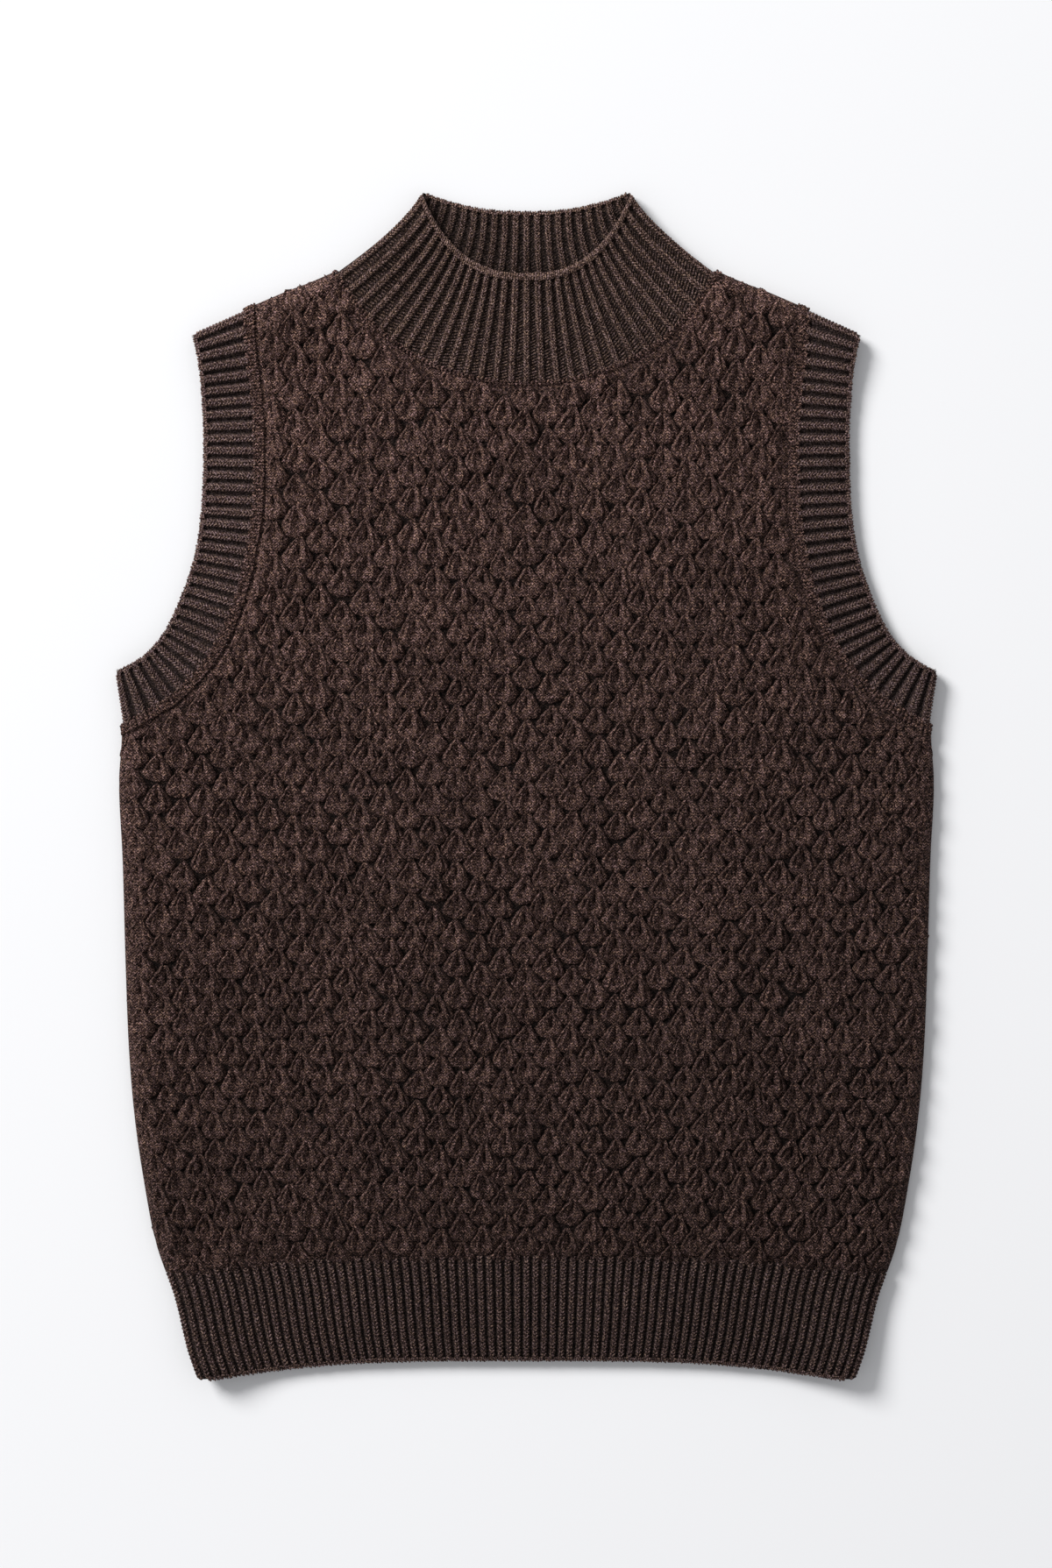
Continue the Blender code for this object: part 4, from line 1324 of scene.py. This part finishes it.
def neck_chain(name, panel, yarn, seed):
    """The row of stitches that links the collar to a panel."""
    shares = np.linspace(-1.0, 1.0, COLLAR_POINTS)
    length = run_length(collar_point(panel.collar, shares, np.ones(COLLAR_POINTS)))
    rows = round(length / CHAIN_ROW)
    mesh = knit_legs(name, yarn, seed, CHAIN_LEGS, (2, rows), (CHAIN_STEP, length / rows))
    mirror = 1.0 if panel.upper else -1.0
    depth = panel.collar[0].rim_y - panel.collar[0].seam_y

    def chart(flat):
        share = (2 * flat[:, 1] / length - 1) * mirror
        points = collar_point(panel.collar, share, 1 + (flat[:, 0] + SEAM_GAP - SEAM_LAP) / depth)
        return lay(points, panel.upper, panel.cloth + BORDER_LIFT + flat[:, 2])

    return put_down(name, mesh, chart)


# The garment ---------------------------------------------------------------------------------------


SHAPE_SEED = 11
SIDES = ((1, "left"), (-1, "right"))


def hand_over(ground, stitches, node):
    """A piece of cloth with its stitches takes the place of its solid. Everything hangs on one body."""
    for piece in (ground, *stitches):
        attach(piece, "root")
    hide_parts(node)


def make_panel(panel, leaf_rows, leaf_shapes, yarn):
    """Front or back, with its leaves and the plain knit beside its seams."""
    ground = panel_cloth(panel, yarn.wool)
    stitches = [leaves(panel, part, leaf_rows, leaf_shapes, yarn.wool) for part in (0, 1)]
    for side, where in SIDES:
        name = f"{panel.name}_border_{where}"
        stitches.append(border_stitches(name, panel, side, yarn, panel.seed + side))
    stitches.append(neck_chain(f"{panel.name}_neck_chain", panel, yarn, panel.seed))
    hand_over(ground, stitches, f"{panel.name}_panel")


def make_hem(layer, where, yarn):
    """One half of the ribbed hem."""
    node = f"hem_rib_{where}"
    ground = ribbed_cloth(f"{node}_cloth", [layer], yarn.wool)
    stitches = [
        rib_stitches(f"{node}_stitches", layer, yarn, seed=21),
        cast_off(f"{node}_edge", layer, yarn, seed=22),
    ]
    hand_over(ground, stitches, node)


def make_collar(yarn):
    """The ribbed stand-up collar, a tube that is folded flat at its sides."""
    ground = ribbed_cloth("collar_rib_cloth", [COLLAR_UPPER, COLLAR_LOWER], yarn.wool)
    stitches = [
        rib_stitches("collar_rib_front_stitches", COLLAR_UPPER, yarn, seed=31),
        groove_stitches("collar_rib_front_grooves", COLLAR_UPPER, yarn, seed=32),
        cast_off("collar_rib_front_edge", COLLAR_UPPER, yarn, seed=35, rows=RIM_ROWS, lift=RIM_LIFT),
        rib_stitches("collar_rib_inside_stitches", COLLAR_INSIDE, yarn, seed=33),
        groove_stitches("collar_rib_inside_grooves", COLLAR_INSIDE, yarn, seed=34),
        cast_off("collar_rib_inside_edge", COLLAR_INSIDE, yarn, seed=36),
    ]
    hand_over(ground, stitches, "collar_rib")


def make_band(side, where, yarn):
    """The ribbed band round one armhole, a tube folded flat."""
    node = f"armhole_rib_{where}"
    upper, lower = layers = [band_layer(side, True), band_layer(side, False)]
    ground = ribbed_cloth(f"{node}_cloth", layers, yarn.wool)
    stitches = [
        rib_stitches(f"{node}_stitches", upper, yarn, seed=41 + side),
        rib_stitches(f"{node}_back_stitches", lower, yarn, seed=45 + side),
        cast_off(f"{node}_edge", upper, yarn, seed=51 + side),
        cast_off(f"{node}_back_edge", lower, yarn, seed=55 + side),
    ]
    hand_over(ground, stitches, node)


def make_garment():
    """All the knitted pieces, from the body out to its ribbed edges."""
    chance = random.Random(SHAPE_SEED)
    leaf_shapes = {}
    for panel in (FRONT, BACK):
        name = f"{panel.name}_leaf"
        shapes = [leaf(f"{name}_{i}", chance, fine=panel.upper) for i in range(LEAF_SHAPES)]
        leaf_shapes[panel.name] = shapes_of(name, shapes)
    legs = shapes_of("leg_shape", [grain(f"leg_shape_{i}", chance) for i in range(GRAIN_SHAPES)])
    stitch_rows = stitch_tree()
    leaf_rows = leaf_tree()
    body_yarn = Yarn(stitch_rows, legs, knitted_wool(LEAF_WOOL, stitched=True))
    hem_yarn, collar_yarn, band_yarn = (
        Yarn(stitch_rows, legs, knitted_wool(wool)) for wool in (HEM_WOOL, COLLAR_WOOL, BAND_WOOL)
    )
    for panel in (FRONT, BACK):
        make_panel(panel, leaf_rows, leaf_shapes[panel.name], body_yarn)
    for layer, where in ((HEM_FRONT, "front"), (HEM_BACK, "back")):
        make_hem(layer, where, hem_yarn)
    make_collar(collar_yarn)
    for side, where in SIDES:
        make_band(side, where, band_yarn)


# Setting, in metres --------------------------------------------------------------------------------

FLOOR_REACH = 4.0
FLOOR_LEVEL = -0.0002
PAPER = {"Base Color": linear("F4F4F5"), "Roughness": 0.9, "Specular IOR Level": 0.2}
WINDOW_PLACE = (-4.4, 3.6, 4.0)
WINDOW_SIZE = 3.0
WINDOW_WATTS = 540.0
DAYLIGHT = linear("F6F7FA")
DAYLIGHT_STRENGTH = 0.45
EYE = (-0.0003, 0.0003, 2.343)
LENS = 85.0
NEAREST = 0.05


def setting():
    """A plain pale floor, soft daylight from the upper left and a camera straight above."""
    mesh = bpy.data.meshes.new("floor")
    ends = ((-1, -1), (1, -1), (1, 1), (-1, 1))
    corners = [(x * FLOOR_REACH, y * FLOOR_REACH, FLOOR_LEVEL) for x, y in ends]
    mesh.from_pydata(corners, [], [(0, 1, 2, 3)])
    mesh.materials.append(matt("matt_white_paper", PAPER)[0])
    show("floor", mesh)

    key = bpy.data.lights.new("window", "AREA")
    key.shape = "DISK"
    key.size = WINDOW_SIZE
    key.energy = WINDOW_WATTS
    window = show("window", key)
    window.location = WINDOW_PLACE
    window.rotation_euler = (-Vector(WINDOW_PLACE)).to_track_quat("-Z", "Y").to_euler()

    world = bpy.data.worlds.new("studio")
    world.use_nodes = True
    background = world.node_tree.nodes["Background"].inputs
    background["Color"].default_value = DAYLIGHT
    background["Strength"].default_value = DAYLIGHT_STRENGTH

    lens = bpy.data.cameras.new("overhead")
    lens.lens = LENS
    lens.clip_start = NEAREST
    camera = show("overhead", lens)
    camera.location = EYE
    scene = bpy.context.scene
    scene.world = world
    scene.camera = camera
    scene.view_settings.view_transform = "Standard"
    scene.view_settings.look = "None"


make_garment()
setting()
